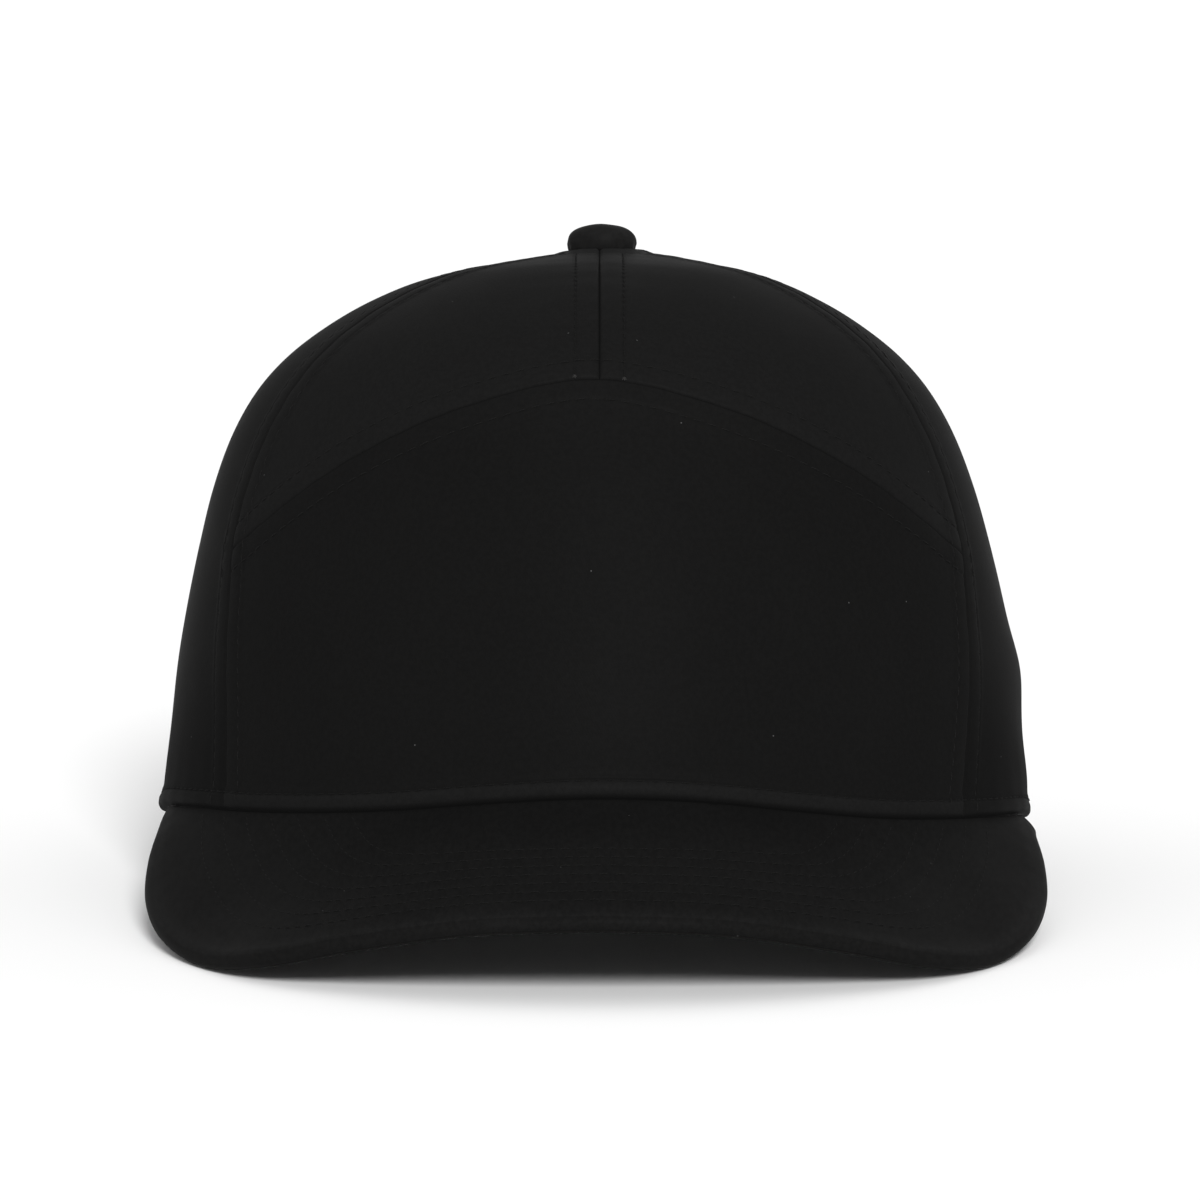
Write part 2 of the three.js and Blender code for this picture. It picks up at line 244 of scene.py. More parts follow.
seamFinish = {
    "roll": 0.85, "rollWidth": 0.75,           # how deep and how wide the folded edge turns in
    "lift": 0.16, "band": 5.6,                 # the doubled cloth beside a seam
    "bandEdge": (0.7, 0.9),
    "puff": 0.08, "puffWidth": 1.4,            # the swelling between the seam and its stitches
    "stitchAt": 4.9, "pitch": 3.0, "threadAbove": 0.1,
    "channel": 0.24, "channelWidth": 0.42,     # the groove that the stitches lie in
    "pucker": 0.05, "puckerReach": 8, "puckerLength": 8.7,
    "scallop": 0.0, "scallopWidth": 1.5,       # how far the cloth swells between the stitches
    "calmBelow": (0, 1), "calmShare": 0.35,    # where on the seam that comes in, and what is left below
}
sideFinish = {**seamFinish, "channel": 0.16, "scallop": 0.1, "calmBelow": (45, 105), "threadAbove": -0.04}
hemFinish = {**seamFinish, "roll": 1.0, "rollWidth": 1.1, "lift": 0.35, "band": 4.3,
             "puff": 0.42, "stitchAt": 3.5, "channel": 0.32}
middleFinish = {**seamFinish, "roll": 0.95, "rollWidth": 1.0, "channel": 0.3, "channelWidth": 0.5}
archFinish = {**seamFinish, "roll": 0.9, "rollWidth": 1.0, "lift": 0.35, "stitchAt": 4.2, "band": 4.9}


def rolledEdge(distance, depth, width):
    # how deep a folded edge turns in at this distance from it
    inside = np.clip(1 - distance / width, 0, 0.995)
    return depth * (1 - np.sqrt(1 - inside ** 2))


def stitchHoles(along, pitch):
    # the channel is deepest where the thread goes through
    return 0.78 + 0.3 * np.cos(2 * np.pi * along / pitch)


def seamRelief(distance, along, finish):
    fromStitches = distance - finish["stitchAt"]
    before, past = finish["bandEdge"]
    lift = finish["lift"] * (1 - smoothStep(distance, finish["band"] - before, finish["band"] + past))
    puff = finish["puff"] * bell(distance - finish["stitchAt"] * 0.5, finish["puffWidth"])
    holes = stitchHoles(along, finish["pitch"])
    channel = finish["channel"] * bell(fromStitches, finish["channelWidth"]) * holes
    turns = 2 * np.pi * along / finish["puckerLength"] + 1.3 * np.sin(along / 13)
    ripple = finish["pucker"] * np.exp(-distance / finish["puckerReach"]) * np.sin(turns)
    scallop = finish["scallop"] * bell(fromStitches, finish["scallopWidth"])
    scallop = scallop * np.cos(2 * np.pi * along / finish["pitch"])
    calm = finish["calmShare"]
    scallop = scallop * (calm + (1 - calm) * smoothStep(along, *finish["calmBelow"]))
    return rolledEdge(distance, finish["roll"], finish["rollWidth"]), lift + puff - channel + ripple - scallop


waves = {"size": 0.03, "count": 9, "shortest": 22, "longest": 60}
waveWays = unit(random.normal(size=(waves["count"], 3)))
waveLengths = random.uniform(waves["shortest"], waves["longest"], waves["count"])
wavePhases = random.uniform(0, 2 * np.pi, waves["count"])


def softWaves(points):
    turns = points @ waveWays.T * (2 * np.pi / waveLengths) + wavePhases
    heights = np.sin(turns) * waveLengths / waves["longest"]
    return heights.sum(-1) * waves["size"] / math.sqrt(waves["count"])


arch = crown["arch"]
legLevels = levelAt(np.linspace(0, arch["spring"], 12))
archTurns = np.radians(np.linspace(0, 90, 60))
archHeights = arch["spring"] + (arch["top"] - arch["spring"]) * np.sin(archTurns)
archTopLevel = float(levelAt(arch["top"]))
upwards = np.linspace(0, 1, 200)
arcAngles = np.linspace(-frontSeamEnd, frontSeamEnd, 300)
middleLevels = lerp(frontSeamLevel(0), 1, upwards)
bothSides = (("Left", -1), ("Right", 1))

seams = {
    "frontArc": SeamLine(arcAngles, frontSeamLevel(arcAngles)),
    "frontMiddle": SeamLine(middleSeamAngle(middleLevels), middleLevels),
    "backMiddle": SeamLine(180.0, lerp(archTopLevel, 1, upwards)),
}
for sideName, side in bothSides:
    seams["side" + sideName] = SeamLine(sideSeamAngle(upwards, side), upwards)
    seams["back" + sideName] = SeamLine(side * float(crown["backSeam"]), upwards)
    overSpring = levelAt(archHeights + 0.35 * (1 - archTurns / (np.pi / 2)))
    edgeLevels = np.concatenate([legLevels[:-1], overSpring])
    edgeLevels = np.unique(np.clip(edgeLevels, 0, archTopLevel))
    seams["arch" + sideName] = SeamLine(side * archAngle(edgeLevels, side), edgeLevels)
    hemEnd = float(archAngle(0.0, side))
    seams["hem" + sideName] = SeamLine(np.linspace(0, side * hemEnd, 400), 0.0)
hemRight, hemLeft = seams.pop("hemRight"), seams.pop("hemLeft")
seams["hem"] = SeamLine(np.concatenate([hemLeft.angle[::-1], hemRight.angle[1:]]), 0.0)
print("seams", {name: round(float(line.along[-1])) for name, line in seams.items()})

finishes = {"hem": hemFinish, "sideLeft": sideFinish, "sideRight": sideFinish,
            "archLeft": archFinish, "archRight": archFinish, "frontMiddle": middleFinish}
openEdges = {"hem", "archLeft", "archRight"}
innerEdge = {"roll": 0.75, "rollWidth": 0.9}    # how an open edge is rounded on the inside

# the cloth bunches up round the button
bunching = {
    "centre": 1.4, "calm": (5, 14), "most": 0.75,
    "collar": (0.82, (6.3, 7.1), (8.2, 12.6)),    # height, where it rises and where it ends
    # height, place across, stretch from front to back, width
    "lumps": [(0.6, 13, 1.5, 7), (-0.36, 13.5, 2, 3), (-0.42, -20, 2, 8)],
}


def reliefAt(points, names):
    deepest, raised = np.zeros(points.shape[:-1]), np.zeros(points.shape[:-1])
    innerRoll = np.zeros(points.shape[:-1])
    for name in names:
        distance, along = seams[name].nearest(points)
        finish = finishes.get(name, seamFinish)
        rolled, other = seamRelief(distance, along, finish)
        deepest = np.maximum(deepest, rolled)
        raised = raised + other
        if name in openEdges:
            innerRoll = np.maximum(innerRoll, rolledEdge(distance, innerEdge["roll"], innerEdge["rollWidth"]))
    x, y = points[..., 0], points[..., 1]
    away = np.hypot(x - bunching["centre"], y)
    fade = smoothStep(away, *bunching["calm"])
    raised = np.minimum(raised, bunching["most"]) * fade + softWaves(points) * fade
    height, rising, ending = bunching["collar"]
    lump = height * smoothStep(away, *rising) * (1 - smoothStep(away, *ending))
    for height, across, stretch, width in bunching["lumps"]:
        lump = lump + height * bell(np.hypot(x - across, y / stretch), width)
    return raised + lump - deepest, innerRoll


def addMesh(name, points, faces, uv=None, sharpAbove=50):
    mesh = bpy.data.meshes.new(name)
    points = np.asarray(points, float) * 0.001
    faces = np.asarray(faces, np.int32)
    mesh.vertices.add(len(points))
    mesh.vertices.foreach_set("co", points.astype(np.float32).ravel())
    sides = faces.shape[1]
    mesh.loops.add(faces.size)
    mesh.loops.foreach_set("vertex_index", faces.ravel())
    mesh.polygons.add(len(faces))
    mesh.polygons.foreach_set("loop_start", np.arange(0, faces.size, sides, dtype=np.int32))
    mesh.polygons.foreach_set("loop_total", np.full(len(faces), sides, np.int32))
    mesh.update(calc_edges=True)
    mesh.polygons.foreach_set("use_smooth", np.full(len(faces), True))
    if uv is not None:
        layer = mesh.uv_layers.new(name="grain")
        layer.uv.foreach_set("vector", np.asarray(uv, np.float32)[faces.ravel()].ravel())
    mesh.validate()
    if sharpAbove:
        mesh.set_sharp_from_angle(angle=math.radians(sharpAbove))
    piece = bpy.data.objects.new(name, mesh)
    bpy.context.scene.collection.objects.link(piece)
    return piece


def gridFaces(rows, columns, start=0, flip=False):
    i, j = np.meshgrid(np.arange(rows - 1), np.arange(columns - 1), indexing="ij")
    a = start + i * columns + j
    quads = np.stack([a, a + 1, a + columns + 1, a + columns], -1).reshape(-1, 4)
    return quads[:, ::-1] if flip else quads


def closedSheet(name, face, back, uv):
    # two grids of points, outer and inner, joined round their edge
    rows, columns = face.shape[:2]
    count = rows * columns
    at = np.arange(count).reshape(rows, columns)
    rim = np.concatenate([at[0, :], at[1:, -1], at[-1, -2::-1], at[-2:0:-1, 0]])
    ahead = np.roll(rim, -1)
    walls = np.stack([ahead, rim, rim + count, ahead + count], -1)
    faces = np.vstack([gridFaces(rows, columns), gridFaces(rows, columns, count, True), walls])
    points = np.vstack([face.reshape(-1, 3), back.reshape(-1, 3)])
    flatUv = uv.reshape(-1, 2)
    return addMesh(name, points, faces, np.vstack([flatUv, flatUv]))


# distances from a seam and from the hem at which a panel has its rows and columns of points
edgeSteps = [0, 0.1, 0.25, 0.45, 0.7, 1.0, 1.4, 1.9, 2.5, 3.1, 3.6, 4.0, 4.3, 4.55, 4.8, 5.05, 5.3,
             5.6, 6.0, 6.5, 7.2]
hemSteps = [0, 0.1, 0.25, 0.45, 0.7, 1.0, 1.35, 1.8, 2.3, 2.7, 2.95, 3.15, 3.35, 3.5, 3.65, 3.85, 4.1,
            4.4, 4.8, 5.4, 6.2]
panelDetail = {
    "margin": 0.06,                   # how far a panel's edge stays from the seam itself
    "across": 61, "up": 161, "levels": 241,    # where the cloth is measured
    "front": (84, 150), "top": (90, 70), "side": (220, 62), "back": (70, 48),    # rows and columns
}


def placed(total, startSteps, endSteps, inner, startSlant, endSlant):
    # positions along a line of this length: close together at its ends, even between them
    total = np.asarray(total, float)
    room = 0.45 * total
    first = np.multiply.outer(np.minimum(1 / startSlant, room / max(startSteps[-1], 1e-9)), startSteps)
    last = np.multiply.outer(np.minimum(1 / endSlant, room / max(endSteps[-1], 1e-9)), endSteps)
    last = total[:, None] - last[:, ::-1]
    middle = lerp(first[:, -1:], last[:, :1], np.linspace(0, 1, inner + 2)[None, 1:-1])
    return np.hstack([first, middle, last])


def slant(ahead, across):
    return np.clip(np.linalg.norm(np.cross(unit(ahead), unit(across)), axis=-1), 0.4, 1)


def panelGrid(spec):
    left, right, bottom, top = (spec[k] for k in ("left", "right", "bottom", "top"))
    margin = panelDetail["margin"]
    u = np.linspace(0, 1, panelDetail["across"])
    low, high = bottom(u), top(u)

    def spot(share, level):
        return lerp(left(level), right(level), share)

    # how far up the panel each row lies, for each share across
    f = np.linspace(0, 1, panelDetail["up"])
    levels = lerp(low[None, :], high[None, :], f[:, None])
    paths = crownOuter(spot(u[None, :], levels), levels)
    climb = lengths(paths)
    if "rowLevels" in spec:
        rowShare = np.tile(spec["rowLevels"][:, None], (1, len(u)))
    else:
        acrossBottom, acrossTop = np.gradient(paths[0], axis=0), np.gradient(paths[-1], axis=0)
        rowAt = placed(climb[-1], spec.get("bottomSteps", [0]), spec.get("topSteps", [0]), spec["size"][0],
                       slant(paths[1] - paths[0], acrossBottom), slant(paths[-1] - paths[-2], acrossTop))
        highest = climb[-1] - margin * ("seamAbove" in spec)
        rowAt = np.clip(rowAt, margin * ("seamBelow" in spec), highest[:, None])
        rowShare = np.stack([np.interp(rowAt[k], climb[:, k], f) for k in range(len(u))], 1)
    # and how far across each column lies, for each level
    steps = np.linspace(0, 1, panelDetail["levels"])
    widths = lengths(crownOuter(spot(u[None, :], steps[:, None]), steps[:, None]), axis=1)
    edges = crownOuter(np.stack([left(steps), right(steps)]), steps)
    rowWay = [crownOuter(spot(0.02, steps), steps) - edges[0], edges[1] - crownOuter(spot(0.98, steps), steps)]
    seamWay = np.gradient(edges, axis=1)
    columnAt = placed(widths[:, -1], edgeSteps, edgeSteps, spec["size"][1],
                      slant(seamWay[0], rowWay[0]), slant(seamWay[1], rowWay[1]))
    columnAt = np.clip(columnAt, margin, widths[:, -1:] - margin)
    columnShare = np.stack([np.interp(columnAt[k], widths[k], u) for k in range(len(steps))])

    rows, columns = rowShare.shape[0], columnShare.shape[1]
    share = np.tile(np.linspace(0, 1, columns), (rows, 1))
    for _ in range(5):
        if "rowLevels" in spec:
            level = np.tile(spec["rowLevels"][:, None], (1, columns))
        else:
            part = np.stack([np.interp(share[i], u, rowShare[i]) for i in range(rows)])
            level = lerp(bottom(share), top(share), part)
        share = np.stack([np.interp(level[:, j], steps, columnShare[:, j]) for j in range(columns)], 1)
    return spot(share, level), level


# how far the cloth's tone moves from the plain one, as painted light and shade: negative is darker, positive is
# lighter
paintedShading = {
    # painted highlight on the puffed band above the hem
    "hemBand": (0.3, 0.8, 3.4),        # amount, and the part above the hem that it covers
    # painted light on the top panels, which face up towards the light
    "topPanels": 0.23,
    # painted light where the front panel turns up at its top
    "frontTop": (0.115, 66, 84),       # amount, and the heights between which it comes in
    # painted highlight round the button, on the top panels and on the sides, between these heights
    "byButton": 0.96, "topsByButton": (109.5, 114), "sidesByButton": (111, 115.5),
    # painted light high on the side and back panels, and painted shade low on them
    "sideTops": (0.14, 50, 80), "sideFeet": (-0.4, 8, 34),
    # painted highlight along the visor's rounded rim
    "visorRim": 0.14,
    # painted shadow of the crown on the visor beside it
    "byCrown": (-0.4, 32, 60),         # the visor beside the crown, from the rim
    # painted shade towards the visor's ends
    "visorSides": (-0.18, 0.25, 0.55),
}


# painted light and shade for a crown panel: lighter towards the top and round the button, a painted highlight
# on the hem band, painted shade low on the sides
def crownPaintedShading(points, name, height):
    tone = np.zeros(points.shape[:-1])
    if name.startswith("top"):
        tone += paintedShading["topPanels"] + paintedShading["byButton"] * smoothStep(height, *paintedShading["topsByButton"])
    elif name.startswith(("side", "back")):
        tops, *topRange = paintedShading["sideTops"]
        feet, *feetRange = paintedShading["sideFeet"]
        tone += tops * smoothStep(height, *topRange) + feet * (1 - smoothStep(height, *feetRange))
        tone += paintedShading["byButton"] * smoothStep(height, *paintedShading["sidesByButton"])
    else:
        amount, *topRange = paintedShading["frontTop"]
        tone += amount * smoothStep(height, *topRange)
    amount, low, high = paintedShading["hemBand"]
    hemGap = seams["hem"].nearest(points)[0]
    overHem = 1 - smoothStep(hemGap, high - 0.4, high + 0.2)
    return tone + amount * smoothStep(hemGap, low - 0.5, low + 0.3) * overHem


# each point keeps its painted light or shade, which the cloth's finish mixes in
def addPaintedShading(piece, tone):
    layer = piece.data.attributes.new("tone", "FLOAT", "POINT")
    layer.data.foreach_set("value", np.asarray(tone, np.float32).ravel())


def clothPanel(name, node, spec):
    angle, level = panelGrid(spec)
    base = crownOuter(angle, level)
    outward = crownNormal(angle, level)
    relief, innerRoll = reliefAt(base, spec["seams"])
    face = standing(base + outward * relief[..., None])
    # behind each seam the panels reach a little past it, so that no light comes through
    innerAngle, innerLevel = angle.copy(), level.copy()
    reach = np.degrees(crown["seamOverlap"] / np.hypot(base[..., 0], base[..., 1]))
    innerAngle[:, 0] -= reach[:, 0]
    innerAngle[:, -1] += reach[:, -1]
    innerLevel[0] -= ("seamBelow" in spec) * crown["seamOverlap"] / crown["levelLength"]
    innerLevel[-1] += ("seamAbove" in spec) * crown["seamOverlap"] / crown["levelLength"]
    back = standing(crownOuter(innerAngle, innerLevel) - outward * (crown["wall"] - innerRoll)[..., None])
    across = lengths(base, axis=1)
    grain = np.stack([across - across[:, -1:] / 2, lengths(base)], -1)
    for part in (face, back):
        part[..., 2] = np.maximum(part[..., 2], 0.0)
    piece = closedSheet(name, face, back, grain)
    tone = crownPaintedShading(base, name, np.interp(level, levelSteps, heightSteps))
    addPaintedShading(piece, np.concatenate([tone.ravel(), tone.ravel() * 0]))
    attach(piece, "root")
    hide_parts(node)
    return piece


# the back panels' rows follow the hem and the arch
archLevels = np.unique(np.concatenate([
    levelAt(np.array(hemSteps)), levelAt(np.linspace(7.4, arch["spring"] - 1, 6)),
    levelAt(archHeights), levelAt(arch["top"] + 0.02 + np.array(edgeSteps[1:])),
    lerp(float(levelAt(arch["top"] + 8)), 1, np.linspace(0, 1, panelDetail["back"][0])),
]))


def steady(value):
    return lambda x: x * 0 + float(value)


def sideSeam(side):
    return lambda level: sideSeamAngle(level, side)


def archSide(side):
    return lambda level: side * archAngle(level, side)


panels = []
panels.append(clothPanel("front_panel_cloth", "front_panel", {
    "left": sideSeam(-1), "right": sideSeam(1),
    "bottom": steady(0), "top": frontSeamBetween(sideSeam(-1), sideSeam(1)),
    "bottomSteps": hemSteps, "topSteps": edgeSteps, "seamAbove": True,
    "size": panelDetail["front"],
    "seams": ["hem", "frontArc", "sideLeft", "sideRight"],
}))
for sideName, side in bothSides:
    word = sideName.lower()
    backEdge, archEdge = steady(side * crown["backSeam"]), archSide(side)
    left, right = [middleSeamAngle, sideSeam(side)][::side]
    panels.append(clothPanel(f"top_panel_{word}_cloth", f"top_panel_{word}", {
        "left": left, "right": right,
        "bottom": frontSeamBetween(left, right), "top": steady(1),
        "bottomSteps": edgeSteps, "seamBelow": True, "size": panelDetail["top"],
        "seams": ["frontArc", "frontMiddle", "side" + sideName],
    }))
    left, right = [sideSeam(side), backEdge][::side]
    panels.append(clothPanel(f"side_panel_{word}_cloth", f"side_panel_{word}", {
        "left": left, "right": right, "bottom": steady(0), "top": steady(1),
        "bottomSteps": hemSteps, "size": panelDetail["side"],
        "seams": ["hem", "side" + sideName, "back" + sideName],
    }))
    left, right = [backEdge, archEdge][::side]
    panels.append(clothPanel(f"back_panel_{word}_cloth", f"back_panel_{word}", {
        "left": left, "right": right, "bottom": steady(0), "top": steady(1),
        "rowLevels": archLevels, "size": panelDetail["back"],
        "seams": ["hem", "back" + sideName, "backMiddle", "arch" + sideName],
    }))
print("panels", sum(len(p.data.polygons) for p in panels))


visor = {
    "thickness": 3.4, "shelf": 1.6, "corner": 76, "seatGap": 0.3,
    # side, reach and lift of the rim's lower edge, from the middle to the corner
    "rim": [(0, 165, 14), (24, 162, 12.7), (46.5, 152.5, 8.2), (65, 138, 2.6), (77, 120, -0.3),
            (85.5, 99, 1), (90, 75, 3.9), (91, 52, 8.2), (89.9, 30, 12.6)],
    "noseLength": 2.3, "noseRound": (2.2, 0.5),    # how the rim rounds over
    "rows": [9.2 + 5.1 * k for k in range(7)],     # stitch rows, from the rim
    "rowsDrift": (5.0, 0.25, 0.75),                # how far the rows move in towards the sides, and where
    "channel": 0.06, "channelWidth": 0.45, "puff": 0.03, "pitch": 3.0,
    "calmSides": (0.25, 0.55, 0.9),                # over which part the rows fade, and by how much
    "turnUp": (2.3, 3.0, 2.5),                     # depths and height of the cloth inside the hem
    "sunkSides": (0.16, 0.3, 0.55),                # how much deeper the stitches lie at the sides, and where
    "edgeSeam": 0.8, "edgeSeamDepth": 0.5, "edgeSeamWidth": 0.12, "edgePitch": 2.6,
    "lip": (0.45, 1.8, 0.8), "lipEnds": (0.3, 0.6),    # height, place and width of the lip under the rim
    "ripple": 0.02, "underShare": 0.8,             # the stitch rows are shallower below
    "stations": 330,
    # distances from the rim at which the rounded edge has its points, and about each stitch row
    "noseSteps": [0, 0.05, 0.2, 0.4, 0.55, 0.64, 0.7, 0.75, 0.8, 0.85, 0.9, 0.96, 1.05, 1.2, 1.4,
                  1.65, 1.9, 2.2],
    "rowSteps": [-0.75, -0.45, -0.2, 0, 0.2, 0.45, 0.75],
    "innermost": 76,
}


def visorTop(u, v):
    u = np.asarray(u, float)
    angle = lerp(-visor["corner"], visor["corner"], u)
    hemEdge = crownOuter(angle, 0.0)
    hemEdge[..., 2] -= visor["seatGap"]
    inner = standing(hemEdge)
    side, reach, lift = np.moveaxis(curveThrough(visor["rim"], np.abs(2 * u - 1)), -1, 0)
    rim = np.stack([side * np.sign(u - 0.5), -reach, lift + visor["thickness"]], -1)
    rim = rim + np.array([crown["place"][0], crown["place"][1], 0])
    return lerp(inner, rim, np.asarray(v, float)[..., None])


def visorDown(u, v):
    acrossWay = visorTop(np.minimum(u + 0.02, 1), v) - visorTop(np.maximum(u - 0.02, 0), v)
    outWay = visorTop(u, np.minimum(v + 0.02, 1)) - visorTop(u, np.maximum(v - 0.02, 0))
    return unit(unit(np.cross(acrossWay, outWay)) + np.array([0, 0, -1.0]))


rimPoints = visorTop(np.linspace(0, 1, 1201), np.ones(1201))
rimAlong = lengths(rimPoints)


def fromRim(points):
    # distance to the rim, and how far along the rim
    flatPoints = points.reshape(-1, 3)
    distance, along = np.empty(len(flatPoints)), np.empty(len(flatPoints))
    for start in range(0, len(flatPoints), atOnce):
        part = flatPoints[start:start + atOnce]
        k = np.clip(closest(part, rimPoints), 1, len(rimPoints) - 2)
        ahead = unit(rimPoints[k + 1] - rimPoints[k - 1])
        slip = ((part - rimPoints[k]) * ahead).sum(1)
        gap = part - rimPoints[k] - ahead * slip[:, None]
        distance[start:start + atOnce] = np.linalg.norm(gap, axis=1)
        along[start:start + atOnce] = rimAlong[k] + slip
    return distance.reshape(points.shape[:-1]), along.reshape(points.shape[:-1])


def sideShare(along):
    # 0 at the middle of the rim and 1 at its ends
    return np.abs(2 * along / rimAlong[-1] - 1)


def rowPlace(distance, along):
    # the distance that places a point among the stitch rows
    drift, start, end = visor["rowsDrift"]
    return distance - drift * smoothStep(sideShare(along), start, end) * smoothStep(distance, 2.6, 14)


def placesAt(u, v):
    # how each point of a grid on the visor's top lies among the rows
    return rowPlace(*fromRim(visorTop(u[:, None] + v * 0, v[None, :] + u[:, None] * 0)))


def shareAt(wanted, places, v):
    return np.interp(wanted, np.maximum.accumulate(places[::-1]), v[::-1])


def visorHalf(distance):
    # half the visor's thickness, which rounds over at the rim
    inNose = np.clip(1 - distance / visor["noseLength"], 0, 1)
    steep, full = visor["noseRound"]
    return visor["thickness"] / 2 * (1 - inNose ** steep) ** full


def visorRelief(distance, along):
    distance = rowPlace(distance, along)
    relief = np.zeros_like(distance)
    start, end, calm = visor["calmSides"]
    holes = stitchHoles(along, visor["pitch"])
    holes = holes * (1 - calm * smoothStep(sideShare(along), start, end))
    for row in visor["rows"]:
        relief -= visor["channel"] * bell(distance - row, visor["channelWidth"]) * holes
    first, last = visor["rows"][0], visor["rows"][-1]
    gap = visor["rows"][1] - first
    between = 0.5 - 0.5 * np.cos(2 * np.pi * (distance - first) / gap)
    return relief + visor["puff"] * between * (distance > first) * (distance < last)


def rimDistances():
    past = visor["noseLength"] + 0.3
    steps = visor["noseSteps"] + [past]
    for row in visor["rows"]:
        steps += list(np.linspace(past, row - 1.1, 4)[1:]) + [row + d for d in visor["rowSteps"]]
        past = row + visor["rowSteps"][-1]
    return np.array(steps + list(np.linspace(past, visor["innermost"], 18)[1:]))


def behindHem(angle, depth, level, sunk):
    # a line on the crown at a depth inside its face, lowered to the visor's seat where it is sunk
    line = standing(crownOuter(angle, level) - crownNormal(angle, level) * depth)
    line[:, 2] -= visor["seatGap"] * sunk
    return line


def visorFaces(stations, count):
    # one closed loop of points at each station, with a cap at either end
    loop = np.arange(stations * count).reshape(stations, count)
    ahead = np.roll(loop, -1, 1)
    body = np.stack([loop[:-1], loop[1:], ahead[1:], ahead[:-1]], -1).reshape(-1, 4)
    caps = [[end[k], end[k + 1], end[count - 2 - k], end[count - 1 - k]]
            for end in (loop[0], loop[-1][::-1]) for k in range(count // 2 - (count % 2 == 0))]
    return np.vstack([body, [cap for cap in caps if len(set(cap)) == 4]])


# painted light and shade on the visor: a highlight along the rim, the crown's painted shadow beside the crown,
# and painted shade towards the ends
def visorPaintedShading(distance, along):
    crownSide, *nearCrown = paintedShading["byCrown"]
    sides, *nearSides = paintedShading["visorSides"]
    tone = paintedShading["visorRim"] * bell(np.maximum(distance - 2.5, 0), 2.5) * (distance > 0.9)
    tone = tone + crownSide * smoothStep(distance, *nearCrown)
    return tone + sides * smoothStep(sideShare(along), *nearSides) * smoothStep(distance, 2, 6)


def visorBody():
    u = np.linspace(0.0005, 0.9995, visor["stations"])
    tryV = np.linspace(0, 1, 90)
    rows = rimDistances()
    v = np.empty((len(u), len(rows)))
    for i, places in enumerate(placesAt(u, tryV)):
        kept = 0.6 * places[0]
        pressed = kept + (rows - kept) * (places[0] - kept) / (rows[-1] - kept)
        v[i] = shareAt(np.where(rows <= kept, rows, pressed), places, tryV)
    allU = np.tile(u[:, None], (1, v.shape[1]))
    topFace, down = visorTop(allU, v), visorDown(allU, v)
    distance, along = fromRim(topFace)
    middle = topFace + down * (visor["thickness"] / 2)
    thin, relief = visorHalf(distance), visorRelief(distance, along)
    edgeGroove = visor["edgeSeamDepth"] * bell(distance - visor["edgeSeam"], visor["edgeSeamWidth"])
    height, place, width = visor["lip"]
    lip = height * bell(distance - place, width) * (1 - smoothStep(sideShare(along), *visor["lipEnds"]))
    ripple = visor["ripple"] * np.sin(2 * np.pi * along / 9.3 + np.sin(along / 17)) * bell(distance - 4, 3.5)
    topSide = middle - down * (thin + relief + ripple)[..., None]
    underSide = middle + down * (thin + relief * visor["underShare"] - edgeGroove + lip)[..., None]
    # the shelf under the hem, and the cloth that turns up inside it
    angle = lerp(-visor["corner"], visor["corner"], u)
    near, far, high = visor["turnUp"]
    high = float(levelAt(high))
    shelf, foot = behindHem(angle, visor["shelf"], 0.0, True), behindHem(angle, near, 0.0, True)
    farFoot = behindHem(angle, far, 0.0, True)
    shelfDown = down[:, -1] * visor["thickness"]
    topSide = np.stack([*np.moveaxis(topSide, 1, 0), shelf, foot, behindHem(angle, near, high, False),
                        behindHem(angle, far, high, False)], 1)
    underSide = np.stack([*np.moveaxis(underSide, 1, 0), shelf + shelfDown, foot + shelfDown,
                          farFoot + shelfDown, farFoot], 1)
    section = np.concatenate([underSide[:, ::-1], topSide[:, 1:]], 1)
    section[..., 2] = np.maximum(section[..., 2], 0.0)
    stations, count = section.shape[:2]
    grain = np.stack([np.tile(along[:, :1], (1, count)), lengths(section, axis=1)], -1)
    faces = visorFaces(stations, count)
    visorCloth = addMesh("visor_cloth", section.reshape(-1, 3), faces, grain.reshape(-1, 2))
    tone = np.pad(visorPaintedShading(distance, along), ((0, 0), (0, 4)))
    addPaintedShading(visorCloth, np.concatenate([tone[:, ::-1] * 0, tone[:, 1:]], 1))
    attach(visorCloth, "root")
    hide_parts("visor")
    return visorCloth


visorCloth = visorBody()
print("visor", len(visorCloth.data.polygons))

thread = {
    "radius": 0.14, "length": 2.25, "sides": 6, "floorGap": 0.45,
    # along the stitch, share of the radius, and height
    "outline": [(-0.46, 0.62, -0.16), (-0.3, 0.95, 0), (0, 1, 0.07), (0.3, 0.95, 0), (0.46, 0.62, -0.16)],
    "tips": (0.52, 0.24), "flat": 0.85,         # where a stitch ends, and how flat it is
    "slip": 0.06, "slant": (0.05, 0.035),       # how unevenly the stitches lie
    "lengthSpread": (0.94, 1.06), "radiusSpread": (0.93, 1.07),
}
sewn = {}


def followed(places, run, line):
    # the points of a line at these places along it
    return np.stack([np.interp(places, run, line[:, k]) for k in range(3)], 1)


def stitchTemplate(rings, sides):
    j = np.arange(sides)
    k = (j + 1) % sides
    quads = [np.stack([i * sides + j, i * sides + k, (i + 1) * sides + k, (i + 1) * sides + j], -1)
             for i in range(rings - 1)]
    first, last, end = j * 0 + rings * sides, j * 0 + rings * sides + 1, (rings - 1) * sides
    return np.vstack(quads + [np.stack([k, j, first, first], -1), np.stack([end + j, end + k, last, last], -1)])


